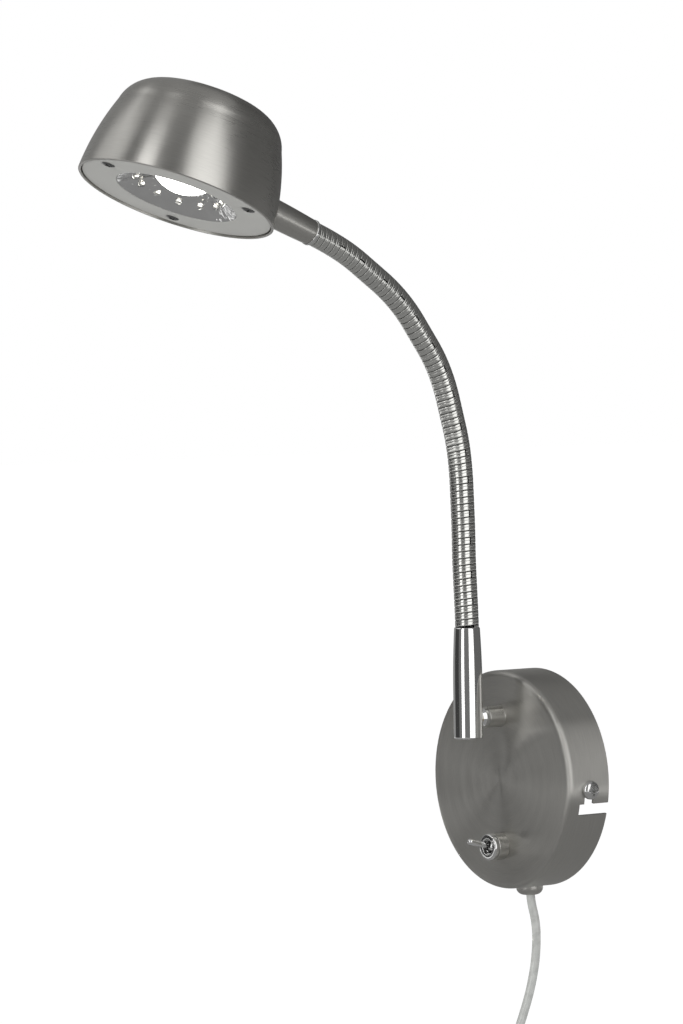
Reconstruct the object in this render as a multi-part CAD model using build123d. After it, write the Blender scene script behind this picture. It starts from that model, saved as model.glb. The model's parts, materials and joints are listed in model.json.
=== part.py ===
from build123d import *
from math import asin, cos, pi, radians, sin, sqrt, tan
import os

# A wall reading lamp on a ribbed flexible neck.  Millimetres.  The wall is the plane Y = 0, the lamp
# stands out of it along -Y, +Z is up, and the origin is the centre of the round canopy's back rim.

# ---------------------------------------------------------------- driving dimensions: the canopy
canopy_radius = 50.0
canopy_depth = 23.2
canopy_wall = 1.2
canopy_edge_radius = 2.8
slot_width = 5.2
slot_reach = 14.0            # from the back rim to the slot's forward side
slot_turn = 10.4             # degrees between the slot's mouth and its locked end
screw_turn = 2.7             # degrees that the locked screws lie below the level on the right

# the strap on the wall and its screws
strap_thickness = 1.5
strap_width = 12.0
ear_reach = 17.0
ear_gap = 0.7                # from the ear's outer face to the canopy's inner wall
wall_slot_spacing = 60.0
wall_slot_width = 4.5
wall_slot_length = 8.0
side_screw_radius = 2.0
side_screw_head_radius = 4.3
side_screw_head_height = 2.8
side_screw_length = 8.0

# the arm that carries the tube
arm_height = 29.1
arm_barrel_radius = 4.9
arm_barrel_length = 8.6
arm_ring_radius = 4.7
arm_ring_length = 2.6
nipple_radius = 4.0
nipple_bore = 2.6
nipple_inside = 8.0          # how far it reaches behind the canopy's face
nut_height = 3.5
nut_across_flats = 13.0
washer_thickness = 0.8
washer_least = 0.7          # the shaped washer's thinnest place

# the polished tube
tube_bottom = 19.9
tube_top = 70.7
tube_foot_radius = 6.7
tube_top_radius = 5.9
tube_straight = 22.0         # length below the taper
tube_plug_thickness = 3.0

# the flexible neck
neck_crest = 5.4
neck_valley = 4.95
neck_bore = 2.4
neck_end_radius = 5.1
neck_plug_length = 10.0
link_length = 13.4
link_gap = 1.7
link_count = 15
link_ribs = 4
rib_flank = 0.45
rib_flat = 0.4
ball_radius = 4.3
socket_clearance = 0.3
neck_tip_ribs = 3
# degrees that the neck turns away from the wall at each bending joint, at rest
rest_bends = {0: 2.5, 2: -2.5, 3: 2.0, 5: 5.0, 6: 8.0, 8: 9.5}
rest_bends |= {9: 11.0, 11: 10.0, 12: 9.0, 14: 8.0, 15: 4.5}

# the head
collar_length = 30.5
collar_mouth_radius = 5.75
collar_root_radius = 6.4
collar_ring_length = 1.3
collar_height = 15.0         # collar's axis above the bell's rim
shell_rim_radius = 44.7
shell_mid_radius = 42.3
shell_mid_height = 18.0
shell_shoulder_radius = 37.6
shell_shoulder_height = 34.2
shell_top_edge_radius = 25.0
shell_top_edge_height = 46.6
shell_height = 48.2
shell_wall = 1.2
plate_gap = 0.4
plate_recess = 0.8
plate_thickness = 1.5
plate_opening = 27.4
plate_screw_circle = 36.6
plate_screw_phase = -94.0
plate_screw_head = 3.0
plate_screw_radius = 1.5
plate_screw_length = 7.0
lug_width = 9.0
lug_thickness = 1.2
lug_height = 9.0
bowl_wall = 0.8
bowl_lip = 26.8
bowl_flange = 31.0
bowl_mid_radius = 19.7
bowl_mid_height = 4.8
bowl_floor_radius = 9.5
bowl_floor_height = 11.0
led_count = 12
led_circle = 19.7
led_phase = 23.4
led_radius = 1.5
led_tip_height = 3.2
led_hole_clearance = 0.15
board_height = 7.6
board_thickness = 1.2
board_inner = 17.4
board_outer = 26.0
boss_radius = 1.6
light_base_thickness = 1.6
light_dome_height = 4.2
sink_radius = 20.0
sink_base = 2.5
sink_height = 14.0
sink_fins = 13
fin_thickness = 1.1

# the toggle switch
switch_height = -30.4
switch_barrel_radius = 6.2
switch_barrel_length = 5.4
switch_groove = 0.3
switch_cap_length = 2.4
switch_mouth = 3.5
bushing_radius = 3.0
bushing_bore = 2.6
bushing_recess = 1.2
lever_radius = 1.1
lever_tip_radius = 1.5
lever_length = 14.7          # from the pivot to the tip
lever_tilt = 14.0            # degrees above the barrel's axis at rest
lever_ball = 2.3
lever_pivot_out = 4.9        # pivot in front of the canopy's face
switch_case = (12.6, 8.4, 9.6)
switch_blade_share = 0.28    # of the case's width, from its middle to each blade

# the lead and its bushing
cord_radius = 2.0
cord_bushing_y = -6.9
cord_bushing_radius = 6.2
cord_bushing_proud = 3.9
cord_bushing_neck = 4.6
cord_clearance = 0.15
cord_bushing_inside = 6.0
coil_turn = 40.0             # degrees that the coil is turned in its plane
coil_pitch = 5.0
coil_outer = 30.0            # centre line of the outermost turn
coil_steps = (6, 5, 5, 5)    # half turns in each layer
coil_start = Vector(8.5, -18.8, -152.0)
plug_width = 26.0
plug_thickness = 13.6
plug_height = 35.0
plug_neck = 20.0
plug_neck_flare = 2.6       # how much wider than the cord the neck is where it meets the body
pin_radius = 2.0
pin_length = 19.0
pin_spacing = 19.0
tie_thickness = 0.9
tie_width = 6.0

# ---------------------------------------------------------------- places
face_y = -canopy_depth
FACE = Plane(origin=(0, face_y, 0), x_dir=(1, 0, 0), z_dir=(0, -1, 0))
arm_length = arm_barrel_length + arm_ring_length
tube_axis_y = face_y - arm_length - tube_foot_radius
JOINT_ZERO = Vector(0, tube_axis_y, tube_top + 4.0)


def heading(angle):
    """Direction that leaves the vertical by angle degrees, away from the wall."""
    return Vector(0, -sin(radians(angle)), cos(radians(angle)))


def neck_places():
    """The plane of each neck joint at rest, with its Z axis along the neck, and the last direction."""
    places = []
    angle = 0.0
    at = JOINT_ZERO
    for index in range(link_count + 1):
        angle += rest_bends.get(index, 0.0)
        places.append(Plane(origin=at, x_dir=(1, 0, 0), z_dir=heading(angle)))
        at = at + heading(angle) * link_length
    return places, angle


def ring_of(count, radius, phase):
    """Evenly spaced (x, y) points on a circle."""
    turns = [radians(phase + 360.0 * i / count) for i in range(count)]
    return [(radius * cos(t), radius * sin(t)) for t in turns]


def turned(*outline):
    """Solid of revolution about Z from closed (radius, height) corners."""
    corners = [(r, 0, h) for r, h in outline]
    return revolve(make_face(Polyline(*corners, close=True)), Axis.Z)


def turned_edges(*edges):
    """Solid of revolution about Z from edges in the XZ plane that close an outline."""
    return revolve(make_face(edges), Axis.Z)


def arc(a, b, c):
    """Arc through three (radius, height) points of a turned outline."""
    return ThreePointArc((a[0], 0, a[1]), (b[0], 0, b[1]), (c[0], 0, c[1]))


def straight(a, b):
    """Straight line between two (radius, height) points of a turned outline."""
    return Line((a[0], 0, a[1]), (b[0], 0, b[1]))


def dome(edge, top):
    """Round cap from an edge point (radius, height) to height top on the axis, centred on the axis."""
    radius, height = edge
    rise = top - height
    ball = (radius ** 2 + rise ** 2) / (2 * abs(rise))
    up = 1 if rise > 0 else -1
    half = asin(min(1.0, radius / ball)) / 2
    middle = (ball * sin(half), top - up * ball * (1 - cos(half)))
    return arc(edge, middle, (0, top))


def rod(radius, low, high):
    """Cylinder about Z between two heights."""
    return Pos(0, 0, low) * Cylinder(radius, high - low, align=(Align.CENTER, Align.CENTER, Align.MIN))


def hex_nut(across_flats, height, bore):
    """Hexagonal nut on the XY plane, with chamfered corners."""
    corner = across_flats / sqrt(3)
    blank = extrude(RegularPolygon(corner, 6), height)
    wide = corner + 1
    low_cut = turned((0, 0), (corner - 0.6, 0), (wide, height * 0.4), (wide, height), (0, height))
    high_cut = turned((0, 0), (wide, 0), (wide, height * 0.6), (corner - 0.6, height), (0, height))
    return (blank & low_cut & high_cut) - rod(bore, -1, height + 1)


def cross_recess(size, depth, top):
    """The cross that a driver fits, cut down from height top."""
    arm = Box(size, size * 0.22, depth, align=(Align.CENTER, Align.CENTER, Align.MAX))
    return Pos(0, 0, top) * (arm + Rot(0, 0, 90) * arm)


def pan_screw(head_radius, head_height, shank_radius, shank_length):
    """Pan-head screw with its seat on the XY plane and its head on +Z."""
    shoulder = (head_radius * 0.86, head_height * 0.72)
    head = turned_edges(
        straight((0, 0), (head_radius, 0)),
        straight((head_radius, 0), (head_radius, head_height * 0.3)),
        arc((head_radius, head_height * 0.3), shoulder, (head_radius * 0.5, head_height)),
        straight((head_radius * 0.5, head_height), (0, head_height)),
        straight((0, head_height), (0, 0)),
    )
    shank = rod(shank_radius, -shank_length, 0.2)
    return head + shank - cross_recess(head_radius * 1.25, head_height * 0.6, head_height)


# ---------------------------------------------------------------- canopy, strap and side screws
inner_radius = canopy_radius - canopy_wall
hole_clearance = 0.1


def bayonet_slot():
    """L-shaped slot in the wall at +X: in from the back rim, then up to the locked end."""
    half = slot_width / 2
    cutter_length = 4 * canopy_wall
    reach_in = canopy_radius - cutter_length / 2
    leg = Pos(reach_in, -(slot_reach - slot_width / 2) / 2 + 1, 0) * Box(
        cutter_length * 2, slot_reach - slot_width / 2 + 2, slot_width
    )
    slot = Rot(0, screw_turn + slot_turn, 0) * leg
    bore = Rot(0, 90, 0) * Cylinder(half, cutter_length * 2)
    steps = 13
    for i in range(steps):
        turn = screw_turn + slot_turn * i / (steps - 1)
        slot += Rot(0, turn, 0) * Pos(reach_in, -(slot_reach - half), 0) * bore
    square = Pos(reach_in, -(slot_reach - half), -half / 2) * Box(cutter_length * 2, slot_width, half)
    return slot + Rot(0, screw_turn + slot_turn, 0) * square


def make_canopy_cover():
    outer = FACE * Pos(0, 0, -canopy_depth) * rod(canopy_radius, 0, canopy_depth)
    outer = fillet(outer.faces().sort_by(Axis.Y)[0].edges(), canopy_edge_radius)
    inner = FACE * Pos(0, 0, -canopy_depth) * rod(inner_radius, -1, canopy_depth - canopy_wall)
    inner = fillet(inner.faces().sort_by(Axis.Y)[0].edges(), canopy_edge_radius - canopy_wall)
    cover = outer - inner
    through = 4 * canopy_wall
    cover -= FACE * Pos(0, arm_height, 0) * Cylinder(nipple_radius + hole_clearance, through)
    cover -= FACE * Pos(0, switch_height, 0) * Cylinder(bushing_radius + hole_clearance, through)
    cover -= Pos(0, cord_bushing_y, -canopy_radius) * Cylinder(cord_bushing_neck + hole_clearance, through)
    slot = bayonet_slot()
    return cover - slot - Rot(0, 180, 0) * slot


ear_outer = sqrt((inner_radius - ear_gap / 2) ** 2 - (strap_width / 2) ** 2)
screw_y = -(slot_reach - slot_width / 2)


def screw_place(side):
    """Plane at the canopy's outer wall where a side screw's head seats, facing outwards."""
    turn = radians(-screw_turn)
    z = canopy_radius * sin(turn) * side
    return Plane(origin=(side * (canopy_radius + 0.15), screw_y, z), x_dir=(0, 1, 0), z_dir=(side, 0, 0))


def make_wall_bracket():
    strap = Pos(0, -strap_thickness / 2, 0) * Box(2 * ear_outer, strap_thickness, strap_width)
    ear = Box(strap_thickness, ear_reach, strap_width)
    ear = fillet(ear.edges().filter_by(Axis.X).group_by(Axis.Y)[0], strap_width * 0.3)
    for side in (-1, 1):
        strap += Pos(side * (ear_outer - strap_thickness / 2), -ear_reach / 2, 0) * ear
    for side in (-1, 1):
        strap -= screw_place(side) * Cylinder(side_screw_radius + 0.05, 12)
        wall_slot = SlotOverall(wall_slot_length, wall_slot_width)
        strap -= Plane.XZ * Pos(side * wall_slot_spacing / 2, 0, 0) * extrude(wall_slot, 3, both=True)
    return strap


def make_side_screws():
    screw = pan_screw(side_screw_head_radius, side_screw_head_height, side_screw_radius, side_screw_length)
    return [screw_place(side) * screw for side in (-1, 1)]


# ---------------------------------------------------------------- arm and tube
ARM = FACE * Pos(0, arm_height, 0)


def tube_outline_radius(height):
    """Outer radius of the tube at a height, along its straight foot and its tapering arc."""
    share = max(0.0, (height - tube_bottom - tube_straight) / (tube_top - tube_bottom - tube_straight))
    return tube_foot_radius - (tube_foot_radius - tube_top_radius) * share ** 2


def make_base_tube():
    taper_start = tube_bottom + tube_straight
    middle = (taper_start + tube_top - 1.5) / 2
    bore = neck_end_radius + 0.05
    lip = 0.6
    top_radius = tube_top_radius
    outline = turned_edges(
        straight((bore, tube_bottom), (tube_foot_radius - lip, tube_bottom)),
        arc(
            (tube_foot_radius - lip, tube_bottom),
            (tube_foot_radius - lip * 0.3, tube_bottom + lip * 0.3),
            (tube_foot_radius, tube_bottom + lip),
        ),
        straight((tube_foot_radius, tube_bottom + lip), (tube_foot_radius, taper_start)),
        arc(
            (tube_foot_radius, taper_start),
            (tube_outline_radius(middle), middle),
            (top_radius, tube_top - 1.0),
        ),
        arc(
            (top_radius, tube_top - 1.0),
            (top_radius - 0.15, tube_top - 0.3),
            (top_radius - 0.5, tube_top),
        ),
        straight((top_radius - 0.5, tube_top), (bore, tube_top)),
        straight((bore, tube_top), (bore, tube_bottom)),
    )
    tube = Pos(0, tube_axis_y, 0) * outline
    return tube - ARM * rod(nipple_radius + hole_clearance, 0, arm_length + tube_foot_radius - 3)


def make_tube_plug():
    bore = neck_end_radius + 0.05
    return Pos(0, tube_axis_y, tube_bottom + 0.4) * rod(bore, 0, tube_plug_thickness)


def make_spacer_barrel():
    barrel = rod(arm_barrel_radius, 0, arm_barrel_length)
    barrel = chamfer(barrel.faces().sort_by(Axis.Z)[-1].edges(), 0.3)
    return ARM * (barrel - rod(nipple_radius + hole_clearance, -1, arm_barrel_length + 1))


def make_spacer_ring():
    ring = rod(arm_ring_radius, arm_barrel_length, arm_length + tube_foot_radius / 2)
    ring = chamfer(ring.faces().sort_by(Axis.Z)[0].edges(), 0.5)
    ring -= rod(nipple_radius + hole_clearance, 0, arm_length + tube_foot_radius)
    return ARM * ring - Pos(0, tube_axis_y, 0) * rod(tube_foot_radius, 0, tube_top)


def make_neck_nipple():
    tube_bore = neck_end_radius + 0.05
    front = arm_length + tube_foot_radius - sqrt(tube_bore ** 2 - nipple_radius ** 2)
    back = -canopy_wall - nipple_inside
    nipple = rod(nipple_radius, back, front) - rod(nipple_bore, back - 1, front + 1)
    return ARM * nipple


def make_nipple_washer():
    back = -canopy_wall - washer_thickness
    washer = rod(nut_across_flats * 0.62, back, -canopy_wall)
    return ARM * (washer - rod(nipple_radius + 0.05, back - 1, 1))


def make_nipple_nut():
    nut = hex_nut(nut_across_flats, nut_height, nipple_radius + 0.02)
    return ARM * Pos(0, 0, -canopy_wall - washer_thickness - nut_height) * nut


# ---------------------------------------------------------------- toggle switch
SWITCH = FACE * Pos(0, switch_height, 0)


def make_switch_barrel():
    barrel = rod(switch_barrel_radius, 0, switch_barrel_length)
    return SWITCH * (barrel - rod(bushing_radius + 0.05, -1, switch_barrel_length + 1))


def make_switch_cap():
    low = switch_barrel_length + switch_groove
    high = low + switch_cap_length
    mid = (low + high) / 2
    outer = switch_barrel_radius
    seat = turned_edges(
        straight((bushing_radius + 0.05, switch_barrel_length), (outer - 0.8, switch_barrel_length)),
        straight((outer - 0.8, switch_barrel_length), (outer - 0.8, low)),
        arc((outer - 0.8, low), (outer, mid), (outer - 0.9, high)),
        straight((outer - 0.9, high), (switch_mouth + 0.5, high)),
        arc((switch_mouth + 0.5, high), (switch_mouth + 0.15, high - 0.15), (switch_mouth, high - 0.5)),
        straight((switch_mouth, high - 0.5), (switch_mouth, low + 0.4)),
        straight((switch_mouth, low + 0.4), (bushing_radius + 0.05, low + 0.4)),
        straight((bushing_radius + 0.05, low + 0.4), (bushing_radius + 0.05, switch_barrel_length)),
    )
    return SWITCH * seat


def make_switch_bushing():
    front = switch_barrel_length + switch_groove + switch_cap_length - bushing_recess
    bushing = rod(bushing_radius, -canopy_wall - 2.0, front)
    bushing -= rod(bushing_bore, -canopy_wall - 1.0, front + 1)
    for turn in range(4):
        notch = Pos(bushing_radius, 0, front) * Box(2.0, 0.9, 1.6)
        bushing -= Rot(0, 0, 90.0 * turn + 45.0) * notch
    return SWITCH * bushing


def make_switch_nut():
    nut = hex_nut(9.6, 1.0, bushing_radius + 0.02)
    return SWITCH * Pos(0, 0, -canopy_wall - 1.0) * nut


def make_switch_body():
    width, height, depth = switch_case
    top = -canopy_wall - 2.0
    case = Pos(0, 0, top) * Box(width, height, depth, align=(Align.CENTER, Align.CENTER, Align.MAX))
    case = fillet(case.edges().filter_by(Axis.Z), 0.8)
    for side in (-1, 1):
        blade = Pos(side * width * switch_blade_share, 0, top - depth)
        case += blade * Box(1.0, 2.2, 4.4, align=(Align.CENTER, Align.CENTER, Align.CENTER))
    return SWITCH * case


def make_switch_lever():
    neck = sqrt(lever_ball ** 2 - lever_radius ** 2)
    lever = turned_edges(
        arc((0, -lever_ball), (lever_ball, 0), (lever_radius, neck)),
        straight((lever_radius, neck), (lever_tip_radius, lever_length - lever_tip_radius)),
        dome((lever_tip_radius, lever_length - lever_tip_radius), lever_length),
        straight((0, lever_length), (0, -lever_ball)),
    )
    return SWITCH * Pos(0, 0, lever_pivot_out) * Rot(-lever_tilt, 0, 0) * lever


# ---------------------------------------------------------------- flexible neck
def ribs(low, count, pitch):
    """Ribbed tube from height low: each rib is four circles of one ruled loft."""
    crest_length = pitch - 2 * rib_flank - rib_flat
    circles = []
    for index in range(count):
        start = low + index * pitch + rib_flat / 2
        stations = (
            (start, neck_valley),
            (start + rib_flank, neck_crest),
            (start + rib_flank + crest_length, neck_crest),
            (start + 2 * rib_flank + crest_length, neck_valley),
        )
        for height, radius in stations:
            circles.append(Plane(origin=(0, 0, height), x_dir=(1, 0, 0), z_dir=(0, 0, 1)) * Circle(radius))
    return loft(circles, ruled=True)


rib_pitch = (link_length - link_gap) / link_ribs
socket_radius = ball_radius + socket_clearance


def neck_core(low, high):
    """Plain tube under the ribs between two heights."""
    return rod(neck_valley, low, high)


def bored(solid, low, high):
    """The same solid with the neck's wire bore."""
    return solid - rod(neck_bore, low, high)


def make_link(place):
    """One stretch of neck: a socket about its own joint and a ball about the next one."""
    low = link_gap / 2
    high = link_length - link_gap / 2
    link = neck_core(low, high) + ribs(low, link_ribs, rib_pitch)
    link += Pos(0, 0, link_length) * Sphere(ball_radius) & rod(ball_radius + 1, high - 1.0, link_length + 9)
    link -= Sphere(socket_radius)
    return place * bored(link, -1, link_length + 9)


def make_neck_root():
    """The neck's fixed foot, held in the tube, with the first ball."""
    seat = tube_top - JOINT_ZERO.Z
    high = -link_gap / 2
    root = rod(neck_end_radius, seat - neck_plug_length, seat + 0.5)
    root += neck_core(seat, high)
    root += ribs(seat + 0.5, 1, high - seat - 0.5)
    root += Sphere(ball_radius) & rod(ball_radius + 1, high - 1.0, 9)
    return Location(JOINT_ZERO) * bored(root, seat - neck_plug_length - 1, 9)


def make_neck_tip(place):
    """The neck's last stretch: a socket, a few ribs and the plain end in the collar."""
    low = link_gap / 2
    high = low + neck_tip_ribs * rib_pitch
    tip = neck_core(low, high) + ribs(low, neck_tip_ribs, rib_pitch)
    tip += rod(neck_end_radius, high, high + neck_plug_length)
    tip -= Sphere(socket_radius)
    return place * bored(tip, -1, high + neck_plug_length + 1)


# ---------------------------------------------------------------- head
PLACES, LAST_ANGLE = neck_places()
TIP = PLACES[-1]
tip_visible = link_gap / 2 + neck_tip_ribs * rib_pitch


def shell_radius(height):
    """Outer radius of the bell between its rim and its middle, near enough for the collar."""
    share = height / shell_mid_height
    return shell_rim_radius + (shell_mid_radius - shell_rim_radius) * share


def side_radius(height):
    """Outer radius of the bell at a height, on the arc through its rim, middle and shoulder."""
    (ax, ay), (bx, by) = (shell_rim_radius, 0.0), (shell_mid_radius, shell_mid_height)
    cx, cy = shell_shoulder_radius, shell_shoulder_height
    twice = 2 * (ax * (by - cy) + bx * (cy - ay) + cx * (ay - by))
    a, b, c = ax ** 2 + ay ** 2, bx ** 2 + by ** 2, cx ** 2 + cy ** 2
    x = (a * (by - cy) + b * (cy - ay) + c * (ay - by)) / twice
    y = (a * (cx - bx) + b * (ax - cx) + c * (bx - ax)) / twice
    outward = 1 if x < bx else -1
    return x + outward * sqrt((ax - x) ** 2 + (ay - y) ** 2 - (height - y) ** 2)


collar_reach = tip_visible + collar_length
head_axis = Vector(0, cos(radians(LAST_ANGLE)), sin(radians(LAST_ANGLE)))
head_centre = (
    TIP.origin
    + heading(LAST_ANGLE) * (collar_reach + shell_radius(collar_height))
    - head_axis * collar_height
)
HEAD = Plane(origin=head_centre, x_dir=(1, 0, 0), z_dir=head_axis)


def bell_edges(inset):
    """The bell's outline from its rim to its top, drawn in by inset."""
    rim = (shell_rim_radius - inset, 0)
    mid = (shell_mid_radius - inset, shell_mid_height)
    shoulder = (shell_shoulder_radius - inset * 0.9, shell_shoulder_height - inset * 0.4)
    round_mid = (
        (shell_shoulder_radius + shell_top_edge_radius) / 2 + 1.9 - inset * 0.7,
        (shell_shoulder_height + shell_top_edge_height) / 2 + 1.9 - inset * 0.7,
    )
    top_edge = (shell_top_edge_radius - inset * 0.3, shell_top_edge_height - inset)
    top = (0, shell_height - inset)
    return [arc(rim, mid, shoulder), arc(shoulder, round_mid, top_edge), dome(top_edge, top[1])], rim, top


def bell(inset):
    """Solid bell: the shell's outer form drawn in by inset and closed at its rim."""
    edges, rim, top = bell_edges(inset)
    return turned_edges(straight((0, 0), rim), *edges, straight(top, (0, 0)))


COLLAR = Plane(
    origin=TIP.origin + heading(LAST_ANGLE) * tip_visible, x_dir=(1, 0, 0), z_dir=heading(LAST_ANGLE)
)


def make_head_shell():
    outside, outer_rim, outer_top = bell_edges(0)
    inside, inner_rim, inner_top = bell_edges(shell_wall)
    shell = turned_edges(*outside, straight(outer_top, inner_top), *inside, straight(inner_rim, outer_rim))
    return HEAD * shell - COLLAR * rod(nipple_radius + hole_clearance, collar_length - 4, collar_length + 10)


def make_head_collar():
    bore = neck_end_radius + 0.05
    mouth = collar_ring_length
    body = turned_edges(
        straight((nipple_bore, mouth), (collar_mouth_radius, mouth)),
        arc(
            (collar_mouth_radius, mouth),
            ((collar_mouth_radius + collar_root_radius) / 2 + 0.15, collar_length * 0.5),
            (collar_root_radius, collar_length),
        ),
        straight((collar_root_radius, collar_length), (collar_root_radius, collar_length + 4)),
        straight((collar_root_radius, collar_length + 4), (nipple_bore, collar_length + 4)),
        straight((nipple_bore, collar_length + 4), (nipple_bore, mouth)),
    )
    body -= rod(bore, mouth - 1, neck_plug_length + 0.3)
    body = COLLAR * body - HEAD * bell(0)
    stud = rod(nipple_radius, collar_length - 3, collar_nut_seat + nut_height + 0.5)
    return body + COLLAR * (stud - rod(nipple_bore, 0, collar_length + 20))


def make_collar_ring():
    inner = neck_end_radius + 0.05
    outer = collar_mouth_radius + 0.1
    middle = collar_ring_length / 2
    ring = turned_edges(
        straight((inner, 0.05), (outer - 0.35, 0.05)),
        arc((outer - 0.35, 0.05), (outer, middle), (outer - 0.2, collar_ring_length)),
        straight((outer - 0.2, collar_ring_length), (inner, collar_ring_length)),
        straight((inner, collar_ring_length), (inner, 0.05)),
    )
    return COLLAR * ring


nut_drop = shell_radius(collar_height) - side_radius(collar_height + nut_across_flats / 2)
collar_nut_seat = collar_length + nut_drop + shell_wall + washer_least


def make_collar_washer():
    """Washer that fills the room between the flat nut and the bell's round wall."""
    washer = rod(nut_across_flats / 2, collar_length, collar_nut_seat)
    washer -= rod(nipple_radius + 0.05, 0, collar_nut_seat + 1)
    return COLLAR * washer & HEAD * bell(shell_wall + 0.02)


def make_collar_nut():
    nut = hex_nut(nut_across_flats, nut_height, nipple_radius + 0.02)
    return COLLAR * Pos(0, 0, collar_nut_seat) * nut


def screw_points():
    return ring_of(3, plate_screw_circle, plate_screw_phase)


plate_front = plate_recess
plate_back = plate_recess + plate_thickness
plate_radius = side_radius(plate_back) - shell_wall - plate_gap


def make_face_plate():
    plate = rod(plate_radius, plate_front, plate_back) - rod(plate_opening, 0, plate_back + 1)
    for x, y in screw_points():
        plate -= Pos(x, y, 0) * rod(plate_screw_radius + 0.15, 0, 5)
        sink = turned(
            (0, 0), (plate_screw_head + 0.1, 0), (plate_screw_head + 0.1, plate_front), (0, plate_front + 3.1)
        )
        plate -= Pos(x, y, 0) * sink
    return HEAD * plate


def make_plate_screws():
    front = plate_front
    head = turned_edges(
        straight((0, front + plate_screw_length), (plate_screw_radius, front + plate_screw_length)),
        straight((plate_screw_radius, front + plate_screw_length), (plate_screw_radius, front + 1.5)),
        straight((plate_screw_radius, front + 1.5), (plate_screw_head, front)),
        dome((plate_screw_head, front), front - 0.65),
        straight((0, front - 0.65), (0, front + plate_screw_length)),
    )
    recess = cross_recess(3.2, 1.1, 0.0)
    screw = head - Pos(0, 0, front - 0.7) * Rot(180, 0, 0) * recess
    return [HEAD * Pos(x, y, 0) * screw for x, y in screw_points()]


def make_shell_lugs():
    inside = bell(shell_wall + 0.02)
    outer = shell_rim_radius - shell_wall
    inner = plate_screw_circle - 4.5
    tab = Pos((inner + outer + 2) / 2, 0, plate_back) * Box(
        outer + 2 - inner, lug_width, lug_thickness, align=(Align.CENTER, Align.CENTER, Align.MIN)
    )
    leg_depth = outer - shell_radius(lug_height) + shell_wall + lug_thickness + 1.5
    leg = Pos(outer + 2 - leg_depth / 2 - 1, 0, plate_back) * Box(
        leg_depth, lug_width, lug_height, align=(Align.CENTER, Align.CENTER, Align.MIN)
    )
    lug = (tab + leg) & inside
    lug -= Pos(plate_screw_circle, 0, 0) * rod(plate_screw_radius + 0.02, 0, 20)
    return [HEAD * Rot(0, 0, plate_screw_phase + 120.0 * i) * lug for i in range(3)]


def bowl_curve(offset):
    """Lip, middle and floor points of the bowl's surface, moved back by offset."""
    lip = (bowl_lip + offset * 0.6, plate_front + 0.2 + offset)
    middle = (bowl_mid_radius + offset * 0.5, bowl_mid_height + offset)
    floor = (bowl_floor_radius + offset * 0.6, bowl_floor_height + offset)
    return lip, middle, floor


def led_points():
    return ring_of(led_count, led_circle, led_phase)


def boss_points():
    return ring_of(3, (board_inner + board_outer) / 2 + 1.6, led_phase + 15.0)


def make_reflector():
    lip, middle, floor = bowl_curve(0)
    back_lip, back_middle, back_floor = bowl_curve(bowl_wall)
    seat = (plate_opening + 0.2, plate_back)
    flange_top = plate_back + bowl_wall
    bowl = turned_edges(
        arc(lip, middle, floor),
        straight(floor, back_floor),
        arc(back_floor, back_middle, (back_lip[0] - 1.6, flange_top)),
        straight((back_lip[0] - 1.6, flange_top), (bowl_flange, flange_top)),
        straight((bowl_flange, flange_top), (bowl_flange, plate_back)),
        straight((bowl_flange, plate_back), (plate_opening - 0.1, plate_back)),
        straight((plate_opening - 0.1, plate_back), (plate_opening - 0.1, lip[1])),
        straight((plate_opening - 0.1, lip[1]), lip),
    )
    for x, y in boss_points():
        bowl += Pos(x, y, 0) * rod(boss_radius, flange_top - 0.3, board_height)
    for x, y in led_points():
        bowl -= Pos(x, y, 0) * rod(led_radius + led_hole_clearance, 0, board_height)
    return HEAD * bowl


def make_led_board():
    board = rod(board_outer, board_height, board_height + board_thickness)
    board -= rod(board_inner, 0, board_height + 5)
    return HEAD * board


def make_led_domes():
    tip = led_tip_height
    dome = rod(led_radius, tip + led_radius, board_height) + Pos(0, 0, tip + led_radius) * Sphere(led_radius)
    return [HEAD * Pos(x, y, 0) * dome for x, y in led_points()]


light_seat = bowl_floor_height + bowl_wall


def make_centre_light():
    rim = bowl_floor_radius - 0.3
    low = light_seat - light_dome_height
    return HEAD * turned_edges(
        dome((rim, light_seat - 0.6), low),
        straight((rim, light_seat - 0.6), (rim, light_seat)),
        straight((rim, light_seat), (rim + 3.0, light_seat)),
        straight((rim + 3.0, light_seat), (rim + 3.0, light_seat + light_base_thickness)),
        straight((rim + 3.0, light_seat + light_base_thickness), (0, light_seat + light_base_thickness)),
        straight((0, light_seat + light_base_thickness), (0, low)),
    )


def make_heat_sink():
    low = light_seat + light_base_thickness
    sink = rod(sink_radius, low, low + sink_base)
    span = 2 * sink_radius - fin_thickness
    outline = rod(sink_radius, low, low + sink_height)
    for i in range(sink_fins):
        x = -span / 2 + span * i / (sink_fins - 1)
        fin = Box(fin_thickness, 3 * sink_radius, sink_height, align=(Align.CENTER, Align.CENTER, Align.MIN))
        sink += Pos(x, 0, low) * fin & outline
    return HEAD * sink


# ---------------------------------------------------------------- leads inside the canopy and head
def tube_along(points, radius, bends=None):
    """Round tube along straight runs joined by tangent arcs, with each arc's radius."""
    if bends is None:
        bends = bend_radii(points)
    path = FilletPolyline(*points, radius=bends)
    section = Plane(origin=path @ 0, z_dir=path % 0) * Circle(radius)
    return sweep(section, path=path), path.length


def bend_radii(points):
    """Arc radius at each corner: 0.45 of the shorter run over the tangent of half the turn."""
    radii = []
    for a, b, c in zip(points, points[1:], points[2:]):
        before = Vector(*b) - Vector(*a)
        after = Vector(*c) - Vector(*b)
        turn = radians(before.get_angle(after))
        radii.append(0.45 * min(before.length, after.length) / tan(turn / 2))
    return radii


driver_size = (42.0, 13.0, 22.0)
driver_place = (-6.0, face_y + canopy_wall + driver_size[1] / 2, 2.0)
block_size = (15.0, 9.0, 12.0)
block_place = (28.0, face_y + canopy_wall + block_size[1] / 2, 12.0)
wire_radius = 0.9


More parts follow.
